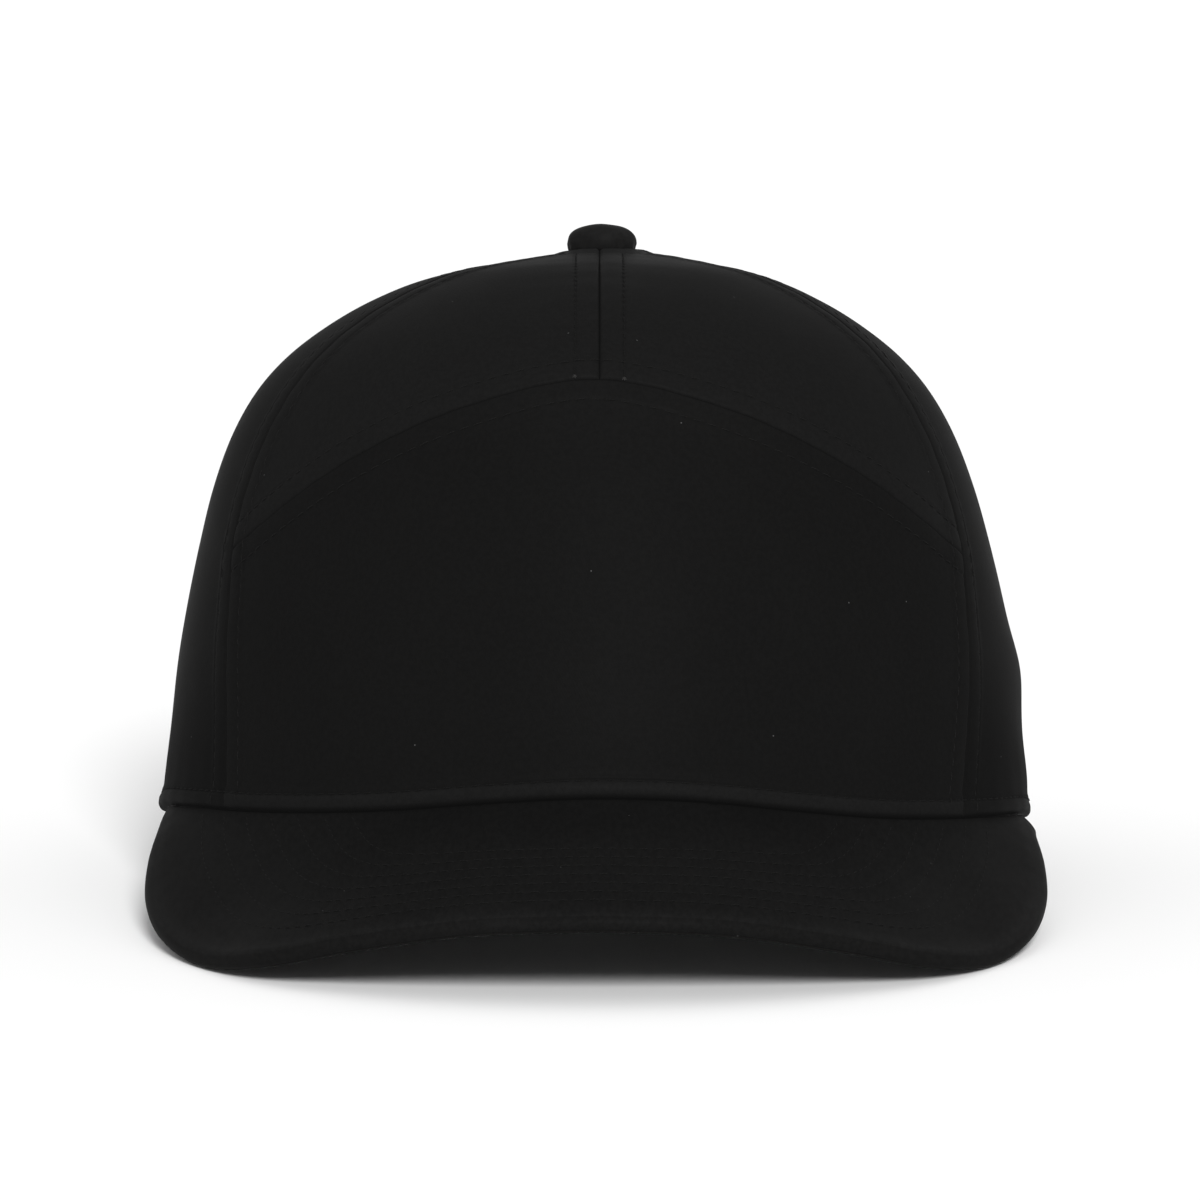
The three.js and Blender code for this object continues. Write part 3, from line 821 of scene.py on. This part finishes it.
def stitches(name, rowsOfStitches):
    # each row: points on the cloth, their normals, and the distance from one stitch to the next
    allPoints, allFaces, allUv, start = [], [], [], 0
    x, swell, rise = np.array(thread["outline"]).T
    turns = np.arange(thread["sides"]) * 2 * np.pi / thread["sides"]
    template = stitchTemplate(len(x), len(turns))
    wide = (np.cos(turns) * swell[:, None])[None, :, :, None]
    high = (np.sin(turns) * swell[:, None])[None, :, :, None]
    tipAt, tipDepth = thread["tips"]
    for points, normals, pitch in rowsOfStitches:
        run = lengths(points)
        count = max(1, int(run[-1] / pitch))
        middles = (np.arange(count) + 0.5) * pitch
        middles = middles + random.normal(0, thread["slip"], count)
        at = followed(middles, run, points)
        at[:, 2] = np.maximum(at[:, 2], thread["floorGap"])
        up = unit(followed(middles, run, normals))
        ahead = followed(middles + 1, run, points) - followed(middles - 1, run, points)
        ahead = unit(ahead - up * (ahead * up).sum(1, keepdims=True))
        aside = np.cross(up, ahead)
        ahead = unit(ahead + aside * random.normal(*thread["slant"], (count, 1)))
        length = thread["length"] * pitch / 3.0 * random.uniform(*thread["lengthSpread"], (count, 1, 1, 1))
        r = thread["radius"] * random.uniform(*thread["radiusSpread"], (count, 1, 1, 1))
        at, ahead, aside, up = (part[:, None, None] for part in (at, ahead, aside, up))
        ring = (at + ahead * x[None, :, None, None] * length + aside * wide * r
                + up * (high * r * thread["flat"] + rise[None, :, None, None]))
        ends = np.array([-tipAt, tipAt])[None, :, None]
        tips = at[:, 0] + ahead[:, 0] * ends * length[:, 0] - up[:, 0] * tipDepth
        points = np.concatenate([ring.reshape(count, -1, 3), tips], 1)
        firsts = start + np.arange(count) * points.shape[1]
        allFaces.append((template[None] + firsts[:, None, None]).reshape(-1, 4))
        ringUv = np.stack(np.meshgrid(x * thread["length"], turns, indexing="ij"), -1).reshape(-1, 2)
        allUv.append(np.tile(np.vstack([ringUv, [[-1.2, 0], [1.2, 0]]]), (count, 1)))
        allPoints.append(points.reshape(-1, 3))
        start += count * points.shape[1]
    points, faces, uv = np.vstack(allPoints), np.vstack(allFaces), np.vstack(allUv)
    triangles = np.vstack([faces[:, :3], faces[faces[:, 2] != faces[:, 3]][:, [0, 2, 3]]])
    piece = addMesh(name, points, triangles, uv, sharpAbove=0)
    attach(piece, "root")
    sewn[name] = piece


def crownRow(seam, offset, finish, names, skip):
    angle, level = seams[seam].beside(offset)
    keep = (level > 0.001) & (level < 0.985) & ~skip(angle, level)
    angle, level = angle[keep], level[keep]
    base, outward = crownOuter(angle, level), crownNormal(angle, level)
    relief, _ = reliefAt(base, names)
    points = standing(base + outward * (relief + finish["threadAbove"])[:, None])
    normals = standing(base + outward) - standing(base)
    return points, normals, finish["pitch"]


def nearButton(angle, level):
    return level > levelAt(115.4)


def nearButtonOrArc(angle, level):
    return nearButton(angle, level) | (level < frontSeamLevel(angle) + 0.003)


def overSides(angle, level):
    return (angle < sideSeamAngle(level, -1) + 0.4) | (angle > sideSeamAngle(level, 1) - 0.4)


def overHem(angle, level):
    return level > 0.06


def overMiddleOrHem(angle, level):
    return (np.abs(angle) > 180) | (level < 0.03)


stitchAt = seamFinish["stitchAt"]
middleRows = [crownRow("frontMiddle", s * stitchAt, seamFinish, ["frontMiddle", "frontArc"], nearButtonOrArc)
              for s in (-1, 1)]
stitches("front_seam_stitches", middleRows)
arcNames = ["frontArc", "frontMiddle", "sideLeft", "sideRight"]
stitches("arc_seam_stitches", [
    crownRow("frontArc", s * stitchAt, seamFinish, arcNames, overSides) for s in (-1, 1)])

# short threads across each other where the middle rows end
knot = {"turns": (-0.9, 0.1, 1.0), "reach": 0.8, "lift": 0.12, "length": 1.5}
knots = []
for points, normals, _ in middleRows:
    for turn in knot["turns"]:
        ahead = points[3] - points[0]
        way = unit(ahead) * math.cos(turn) + unit(np.cross(normals[0], ahead)) * math.sin(turn)
        spread = np.linspace(-knot["reach"], knot["reach"], 5)[:, None] * way
        spread = spread + points[0] + normals[0] * knot["lift"]
        knots.append((spread, np.tile(normals[0], (5, 1)), knot["length"]))
stitches("front_seam_knots", knots)

sideRows = []
for sideName, side in bothSides:
    for s in (-1, 1):
        sideRows.append(crownRow("side" + sideName, s * stitchAt, sideFinish,
                                 ["side" + sideName, "frontArc", "frontMiddle", "hem"], nearButton))
        sideRows.append(crownRow("back" + sideName, s * stitchAt, seamFinish,
                                 ["back" + sideName, "hem"], nearButton))
stitches("side_seam_stitches", sideRows)
stitches("back_seam_stitches", [
    crownRow("backMiddle", s * stitchAt, seamFinish, ["backMiddle", "archLeft", "archRight"], nearButton)
    for s in (-1, 1)])
hemNames = ["hem", "sideLeft", "sideRight", "backLeft", "backRight", "archLeft", "archRight"]
stitches("hem_stitches", [crownRow("hem", hemFinish["stitchAt"], hemFinish, hemNames, overHem)])

# along the arch, on the side of its edge that has cloth
archRows = []
for sideName, side in bothSides:
    edge = "arch" + sideName
    for offset in (-archFinish["stitchAt"], archFinish["stitchAt"]):
        if np.abs(seams[edge].beside(offset)[0]).mean() < np.abs(seams[edge].angle).mean():
            archRows.append(crownRow(edge, offset, archFinish, [edge, "hem"], overMiddleOrHem))
stitches("arch_stitches", archRows)

# rows on the visor, above and below
lineU, lineV = np.linspace(0.002, 0.998, 700), np.linspace(0, 1, 120)
linePlaces = placesAt(lineU, lineV)


def visorLine(wanted):
    # the points at this place among the rows, and what the rows need to know about them
    v = np.array([shareAt(wanted, places, lineV) for places in linePlaces])
    kept = linePlaces[:, 0] > wanted + 0.6
    u, v = lineU[kept], v[kept]
    top, down = visorTop(u, v), visorDown(u, v)
    return u, v, top, down, top + down * (visor["thickness"] / 2), *fromRim(top)


def visorRow(wanted, above):
    _, _, _, down, middle, distance, along = visorLine(wanted)
    sunk, *sides = visor["sunkSides"]
    relief = visorRelief(distance, along) * (1 if above else visor["underShare"])
    lift = visorHalf(distance) + relief + 0.1 - sunk * smoothStep(sideShare(along), *sides)
    sign = -1 if above else 1
    return middle + down * (sign * lift)[:, None], down * sign, visor["pitch"]


def visorEdgeRow():
    # the seam under the rim faces down and outwards
    u, v, top, down, middle, distance, _ = visorLine(visor["edgeSeam"])
    outward = unit(top - visorTop(u, v - 0.03))
    return middle + down * (visorHalf(distance) - 0.28)[:, None], unit(down + outward * 1.1), visor["edgePitch"]


stitches("visor_top_stitches", [visorRow(row, True) for row in visor["rows"]])
stitches("visor_under_stitches", [visorRow(row, False) for row in visor["rows"]])
stitches("visor_edge_stitches", [visorEdgeRow()])
print("stitches", list(sewn))

button = {
    "radius": 7.3, "widest": 1.7, "height": 5.75, "above": 0.3, "under": 0.15, "aside": 1.15,
    "sides": 120, "rings": 34, "squareness": (2.3, 0.37),
    "pleats": 17, "pleatDepth": 0.13, "pleatReach": 1.6, "dents": (0.12, 0.1), "sway": 0.1,
    "stem": (2.1, -4.2),                        # radius and lowest height of the shank
    # radius and height of the cloth that is tucked in below
    "tuck": [(2.1, 0.1), (3.8, 0.04), (5.2, -0.14), (5.95, -0.25), (6.4, -0.16), (6.75, 0.15),
             (6.98, 0.55), (7.11, 1.0)],
    "shade": (-0.2, -4.6, -1.2),                # painted shade low on the button, and between which heights it goes
}


def buttonCover():
    # a profile from under the brim over the dome to its middle
    t = np.sin(np.linspace(0, np.pi / 2, button["rings"]))
    steep, full = button["squareness"]
    radius = button["radius"] * np.maximum(1 - t ** steep, 0) ** full
    height = lerp(button["widest"], button["height"], t)
    profile = np.vstack([np.array(button["tuck"]), np.stack([radius, height], -1)])
    profile[-1, 0] = 0.0
    turn = np.linspace(0, 2 * np.pi, button["sides"], endpoint=False)
    r, z = profile[:, 0][:, None], profile[:, 1][:, None]
    low = np.exp(-np.maximum(z, 0) / button["pleatReach"])
    pleat = button["pleatDepth"] * low * np.cos(button["pleats"] * turn + 1.2 * np.sin(3 * turn))
    pleat = pleat * np.minimum(r / 5, 1)
    middleZ = np.sin(np.clip(z / button["height"], 0, 1) * np.pi)
    broad, fine = button["dents"]
    dent = broad * np.sin(2 * turn + 0.6) + fine * np.sin(7 * turn + 1.3 * z)
    dent = dent * middleZ * np.minimum(r / 6, 1)
    r = np.maximum(r + pleat * (r > 5) + dent, 0)
    z = z + button["sway"] * np.cos(3 * turn + 0.4) * (z > 3) * np.minimum(r / 5, 1)
    ring = np.stack([r * np.sin(turn), -r * np.cos(turn), z + turn * 0], -1)
    rings = len(profile)
    stemRadius, stemFoot = button["stem"]
    stem = np.stack([stemRadius * np.sin(turn), -stemRadius * np.cos(turn), turn * 0 + stemFoot], -1)[None]
    points = np.concatenate([stem, ring[:-1]]).reshape(-1, 3)
    points = np.vstack([points, ring[-1, :1], [[0, 0, stemFoot]]])
    crownTop = float(crownOuter(0.0, 1.0)[2])
    points = points + np.array([button["aside"], 0, crownTop + button["above"] + button["under"]])
    loop = np.arange(rings * len(turn)).reshape(rings, len(turn))
    ahead = np.roll(loop, -1, 1)
    faces = np.stack([loop[:-1], ahead[:-1], ahead[1:], loop[1:]], -1).reshape(-1, 4)
    topPoint, lowPoint = len(points) - 2, len(points) - 1
    caps = np.stack([loop[-1], ahead[-1], loop[-1] * 0 + topPoint], -1)
    lows = np.stack([ahead[0], loop[0], loop[0] * 0 + lowPoint], -1)
    triangles = np.vstack([faces[:, [0, 1, 2]], faces[:, [0, 2, 3]], caps, lows])
    uv = points[:, :2] + np.stack([points[:, 2] * 0, points[:, 2]], -1)
    piece = addMesh("button_cloth", standing(points), triangles, uv, sharpAbove=0)
    # painted shade darkens the lower part of the button
    shade, *heights = button["shade"]
    addPaintedShading(piece, shade * (1 - smoothStep(points[:, 2] - points[:, 2].max(), *heights)))
    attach(piece, "root")
    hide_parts("button")
    return piece


buttonPiece = buttonCover()

# the closure across the back arch
strap = {
    "low": 2.75, "height": 18, "overlap": 12,     # above the hem, and how far it reaches past the arch
    "start": 2.3, "thickness": 1.6,               # inside the crown's outer face
    "round": 0.7, "taper": 6.0, "stations": 120,  # rounded edges and ends
}


def strapBand():
    length = arch["half"] + strap["overlap"]
    reach = math.degrees(length / crown["rows"][0][1])
    t = np.linspace(-1, 1, strap["stations"])
    corner = np.radians(np.linspace(0, 90, 5))
    r, w, h = strap["round"], strap["thickness"] / 2, strap["height"] / 2
    quarter = np.stack([w - r + r * np.cos(corner), h - r + r * np.sin(corner)], -1)
    mirror = quarter[::-1] * [-1, 1]
    sideFill = np.stack([np.full(9, -w), np.linspace(h - r, r - h, 11)[1:-1]], -1)
    below = [1, -1]
    outline = np.vstack([quarter, mirror, sideFill, mirror[::-1] * below, quarter[::-1] * below, -sideFill])
    ends = np.clip((1 - np.abs(t)) * length / strap["taper"], 0, 1)
    size = np.sqrt(np.clip(1 - (1 - ends) ** 2.4, 0.0004, 1))
    angle = 180 + reach * t
    middleHeight = strap["low"] + strap["height"] / 2
    high = middleHeight + outline[None, :, 1] * (1 - 0.5 * (1 - size[:, None]))
    thick = outline[None, :, 0] * np.clip(size[:, None] * 1.6, 0.3, 1)
    level = levelAt(high)
    depth = strap["start"] + strap["thickness"] / 2 - thick
    angles = np.tile(angle[:, None], (1, outline.shape[0]))
    points = standing(crownOuter(angles, level) - crownNormal(angles, level) * depth[..., None])
    stations, count = points.shape[:2]
    loop = np.arange(stations * count).reshape(stations, count)
    ahead = np.roll(loop, -1, 1)
    faces = np.stack([loop[:-1], loop[1:], ahead[1:], ahead[:-1]], -1).reshape(-1, 4)
    flatPoints = np.vstack([points.reshape(-1, 3), points[0].mean(0), points[-1].mean(0)])
    first = np.stack([loop[0], ahead[0], loop[0] * 0 + len(flatPoints) - 2], -1)
    last = np.stack([ahead[-1], loop[-1], loop[-1] * 0 + len(flatPoints) - 1], -1)
    triangles = np.vstack([faces[:, [0, 1, 2]], faces[:, [0, 2, 3]], first, last])
    piece = addMesh("snap_strap_band", flatPoints, triangles, flatPoints[:, [0, 2]], sharpAbove=60)
    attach(piece, "root")
    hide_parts("snap_strap")
    return piece


strapPiece = strapBand()
print("button and strap made")


class Value:
    # a socket in a material; arithmetic on it adds Math nodes
    def __init__(self, finish, socket):
        self.finish, self.socket = finish, socket

    def math(self, operation, *parts):
        return self.finish.node("Math", {"operation": operation}, dict(enumerate(parts)))

    def __add__(self, other):
        return self.math("ADD", self, other)

    def __sub__(self, other):
        return self.math("SUBTRACT", self, other)

    def __mul__(self, other):
        return self.math("MULTIPLY", self, other)

    def __rsub__(self, other):
        return self.math("SUBTRACT", other, self)

    __radd__, __rmul__ = __add__, __mul__

    def sine(self):
        return self.math("SINE", self)

    def between(self, low, high):
        return self.finish.node("MapRange", {"interpolation_type": "SMOOTHSTEP"},
                                {"Value": self, "From Min": low, "From Max": high})


class Finish:
    def __init__(self, name):
        self.material = bpy.data.materials.new(name)
        self.material.use_nodes = True
        self.tree = self.material.node_tree
        self.shader = self.tree.nodes["Principled BSDF"]

    def node(self, kind, settings, inputs, output=0):
        made = self.tree.nodes.new("ShaderNode" + kind)
        for key, value in settings.items():
            setattr(made, key, value)
        for key, value in inputs.items():
            self.connect(made.inputs[key], value)
        return Value(self, made.outputs[output])

    def connect(self, socket, value):
        if isinstance(value, Value):
            self.tree.links.new(value.socket, socket)
        else:
            socket.default_value = value

    def mix(self, amount, first, second):
        return self.node("Mix", {"data_type": "RGBA"}, {0: amount, 6: first, 7: second}, 2)

    def noise(self, where, scale, detail, roughness=0.5):
        inputs = {"Vector": where, "Scale": scale, "Detail": detail, "Roughness": roughness}
        return self.node("TexNoise", {}, inputs)

    def stretch(self, where, factors):
        return self.node("VectorMath", {"operation": "MULTIPLY"}, {0: where, 1: factors})

    def bump(self, height, distance, strength):
        return self.node("Bump", {}, {"Height": height, "Distance": distance, "Strength": strength})

    def place(self):
        # where a point is on the object, in metres
        return self.node("TexCoord", {}, {}, 3)

    def grain(self):
        # where a point is on its piece of cloth, in millimetres, and the same along and across
        grain = self.node("UVMap", {"uv_map": "grain"}, {})
        along = self.node("SeparateXYZ", {}, {"Vector": grain})
        return grain, along, Value(self, along.socket.node.outputs[1])

    def set(self, **sockets):
        for name, value in sockets.items():
            self.connect(self.shader.inputs[name.replace("_", " ")], value)


def grey(value, warm=0.0):
    return (value * (1 + warm), value, value * (1 - warm), 1)


clothLook = {
    "dark": 0.0019, "light": 0.0032, "warm": 0.02, "rough": 0.45, "specular": 0.004,
    "lift": 0.0045,                              # a faint glow, for the lifted blacks of the photograph
    "twill": 0.62, "fade": 3.3, "paintedShade": 0.3,     # width of a twill line, and how much the painted light lightens and the painted shade darkens the cloth
    "warp": (3.2, 0.55, 1), "weft": (0.5, 2.8, 1), "stretch": 1.0,
    "bump": (0.00006, 0.8),
    "lint": {"cells": 0.055, "size": (0.004, 0.011), "chosen": (0.86, 0.88), "shade": 0.07},
}


def clothFinish(name, changes):
    look = {**clothLook, **changes}
    finish = Finish(name)
    grain, u, v = finish.grain()
    place = finish.place()
    wander = finish.noise(place, 60, 2) * 0.35
    twill = ((u + v * 0.55 + wander) * (2 * math.pi / look["twill"])).sine() * 0.5 + 0.5
    warp = finish.noise(finish.stretch(grain, look["warp"]), 1, 2, 0.6)
    weft = finish.noise(finish.stretch(grain, look["weft"]), 1, 2, 0.6)
    fuzz = finish.noise(place, 1500, 3, 0.6)
    patches = finish.noise(place, 34, 3, 0.55).between(0.3, 0.72)
    weave = twill * 0.12 + warp * 0.45 + weft * 0.35 + fuzz * 0.3
    fleck = finish.noise(finish.stretch(place, (1, look["stretch"], 1)), 1000, 2, 0.7).between(0.3, 0.7)
    shade = weave * 0.3 + patches * 0.2 + fleck * 0.5

    def shaded(share, warm=0.0):
        return finish.mix(shade, grey(look["dark"] * share, warm), grey(look["light"] * share, warm))

    colour = shaded(1, look["warm"])
    # the tone attribute mixes in a lit copy of the cloth as painted light where it is positive, and a shaded
    # copy as painted shade where it is negative; the shaded parts are also rougher
    tone = finish.node("Attribute", {"attribute_name": "tone"}, {}, 2)
    paintedLight, paintedShade = shaded(look["fade"]), shaded(look["paintedShade"])
    paintedShadeMask = tone.math("MAXIMUM", tone * -1.0, 0.0)
    colour = finish.mix(paintedShadeMask, finish.mix(tone, colour, paintedLight), paintedShade)
    # a few specks of lint
    cells = {"Vector": grain, "Scale": look["lint"]["cells"], "Randomness": 1.0}
    specks = finish.node("TexVoronoi", {"voronoi_dimensions": "2D"}, cells)
    pick = finish.node("TexVoronoi", {"voronoi_dimensions": "2D"}, cells, 1)
    chosen = finish.node("SeparateColor", {}, {"Color": pick}).between(*look["lint"]["chosen"])
    lint = (1 - specks.between(*look["lint"]["size"])) * chosen
    colour = finish.mix(lint * 0.8, colour, grey(look["lint"]["shade"]))
    # the emission is a faint painted glow that lifts the cloth's blacks
    finish.set(Base_Color=colour, Roughness=look["rough"] + 0.1 * (1 - weave) - 0.04 * patches + 0.3 * paintedShadeMask,
               Normal=finish.bump(weave + lint * 1.5, *look["bump"]), Specular_IOR_Level=look["specular"],
               Emission_Color=grey(look["lift"]), Emission_Strength=1.0)
    return finish.material


threadLook = {"warm": 0.02, "twist": 9.0, "rough": 0.5, "specular": 0.02, "bump": (0.00008, 0.8)}


def threadFinish(name, dark, light):
    finish = Finish(name)
    _, u, v = finish.grain()
    twist = (u * threadLook["twist"] + v).sine() * 0.5 + 0.5
    patches = finish.noise(finish.place(), 220, 2)
    warm = threadLook["warm"]
    colour = finish.mix(twist * 0.7 + patches * 0.3, grey(dark, warm), grey(light, warm))
    # the thread carries the cloth's faint painted glow as well
    finish.set(Base_Color=colour, Roughness=threadLook["rough"] + 0.25 * patches,
               Normal=finish.bump(twist, *threadLook["bump"]), Specular_IOR_Level=threadLook["specular"],
               Emission_Color=grey(clothLook["lift"]), Emission_Strength=1.0)
    return finish.material


plasticLook = {"dark": 0.007, "light": 0.012, "rough": 0.38, "specular": 0.4, "bump": (0.00004, 0.6)}


def plasticFinish(name):
    finish = Finish(name)
    place = finish.place()
    pebble = finish.noise(place, 900, 3, 0.55)
    smear = finish.noise(place, 40, 3)
    finish.set(Base_Color=finish.mix(smear, grey(plasticLook["dark"]), grey(plasticLook["light"])),
               Roughness=plasticLook["rough"] + 0.16 * smear + 0.06 * pebble,
               Normal=finish.bump(pebble, *plasticLook["bump"]), Specular_IOR_Level=plasticLook["specular"])
    return finish.material


crownFinish = clothFinish("crownCloth", {})
visorFinish = clothFinish("visorCloth", {"dark": 0.002, "light": 0.0048, "stretch": 0.25})
# the button's cloth is the crown's cloth made lighter, as painted light on the top of the cap
buttonFinish = clothFinish("buttonCloth", {"dark": 0.004, "light": 0.0075, "twill": 0.5, "specular": 0.01})
blackThread = threadFinish("blackThread", 0.0018, 0.0052)
visorThread = threadFinish("visorThread", 0.0024, 0.0062)
sideThread = threadFinish("sideThread", 0.0026, 0.0062)
knotThread = threadFinish("knotThread", 0.006, 0.03)
strapFinish = plasticFinish("strapPlastic")

for piece in panels:
    piece.data.materials.append(crownFinish)
for piece, finish in ((visorCloth, visorFinish), (buttonPiece, buttonFinish), (strapPiece, strapFinish)):
    piece.data.materials.append(finish)
sewnWith = {
    "arc_seam_stitches": sideThread, "side_seam_stitches": sideThread, "front_seam_knots": knotThread,
    "visor_top_stitches": visorThread, "visor_under_stitches": visorThread, "visor_edge_stitches": visorThread,
}
for name, piece in sewn.items():
    piece.data.materials.append(sewnWith.get(name, blackThread))
print("materials made")

studio = {
    "floorHalf": 30.0, "floorShade": 0.86, "sky": 0.67,
    "sunny": 3.9, "sunHeight": 26, "sunRound": 8, "sunSpread": 15,
    "lens": 230.9, "sensor": 36, "aim": (0.0008, 0.033, 0.0589), "eyeHeight": 6.2, "eyeDistance": 1.6,
}


def studioFloor():
    s = studio["floorHalf"]
    steps = np.array([-1, -0.4, -0.1, -0.03, 0, 0.03, 0.1, 0.4, 1]) * s * 1000
    grid = np.stack(np.meshgrid(steps, steps, indexing="xy"), -1)
    points = np.concatenate([grid, np.zeros(grid.shape[:2] + (1,))], -1)
    floor = addMesh("studio_floor", points.reshape(-1, 3), gridFaces(9, 9))
    finish = Finish("paleFloor")
    tone = finish.noise(finish.place(), 3.0, 2)
    shade = studio["floorShade"]
    colour = finish.mix(tone, grey(shade), grey(shade + 0.02))
    finish.set(Base_Color=colour, Roughness=0.9, Specular_IOR_Level=0.1)
    floor.data.materials.append(finish.material)


def softLight():
    # a wide soft light far away, so that the floor is lit evenly
    light = bpy.data.lights.new("frontLight", "SUN")
    light.energy = studio["sunny"]
    light.angle = math.radians(studio["sunSpread"])
    lamp = bpy.data.objects.new("frontLight", light)
    turn, climb = math.radians(studio["sunRound"]), math.radians(studio["sunHeight"])
    place = Vector((math.sin(turn) * math.cos(climb), -math.cos(turn) * math.cos(climb), math.sin(climb))) * 3
    lamp.location = place
    lamp.rotation_euler = (-place).to_track_quat("-Z", "Y").to_euler()
    bpy.context.scene.collection.objects.link(lamp)


studioFloor()
world = bpy.data.worlds.new("whiteRoom")
world.use_nodes = True
sky = world.node_tree.nodes["Background"].inputs
sky["Color"].default_value, sky["Strength"].default_value = (1, 1, 1, 1), studio["sky"]
bpy.context.scene.world = world
softLight()

camera = bpy.data.cameras.new("frontCamera")
camera.sensor_width, camera.lens = studio["sensor"], studio["lens"]
eye = bpy.data.objects.new("frontCamera", camera)
aim, climb = Vector(studio["aim"]), math.radians(studio["eyeHeight"])
eye.location = aim + Vector((0, -math.cos(climb), math.sin(climb))) * studio["eyeDistance"]
eye.rotation_euler = (aim - eye.location).to_track_quat("-Z", "Y").to_euler()
bpy.context.scene.collection.objects.link(eye)
bpy.context.scene.camera = eye
bpy.context.scene.view_settings.view_transform = "Standard"
print("studio made")
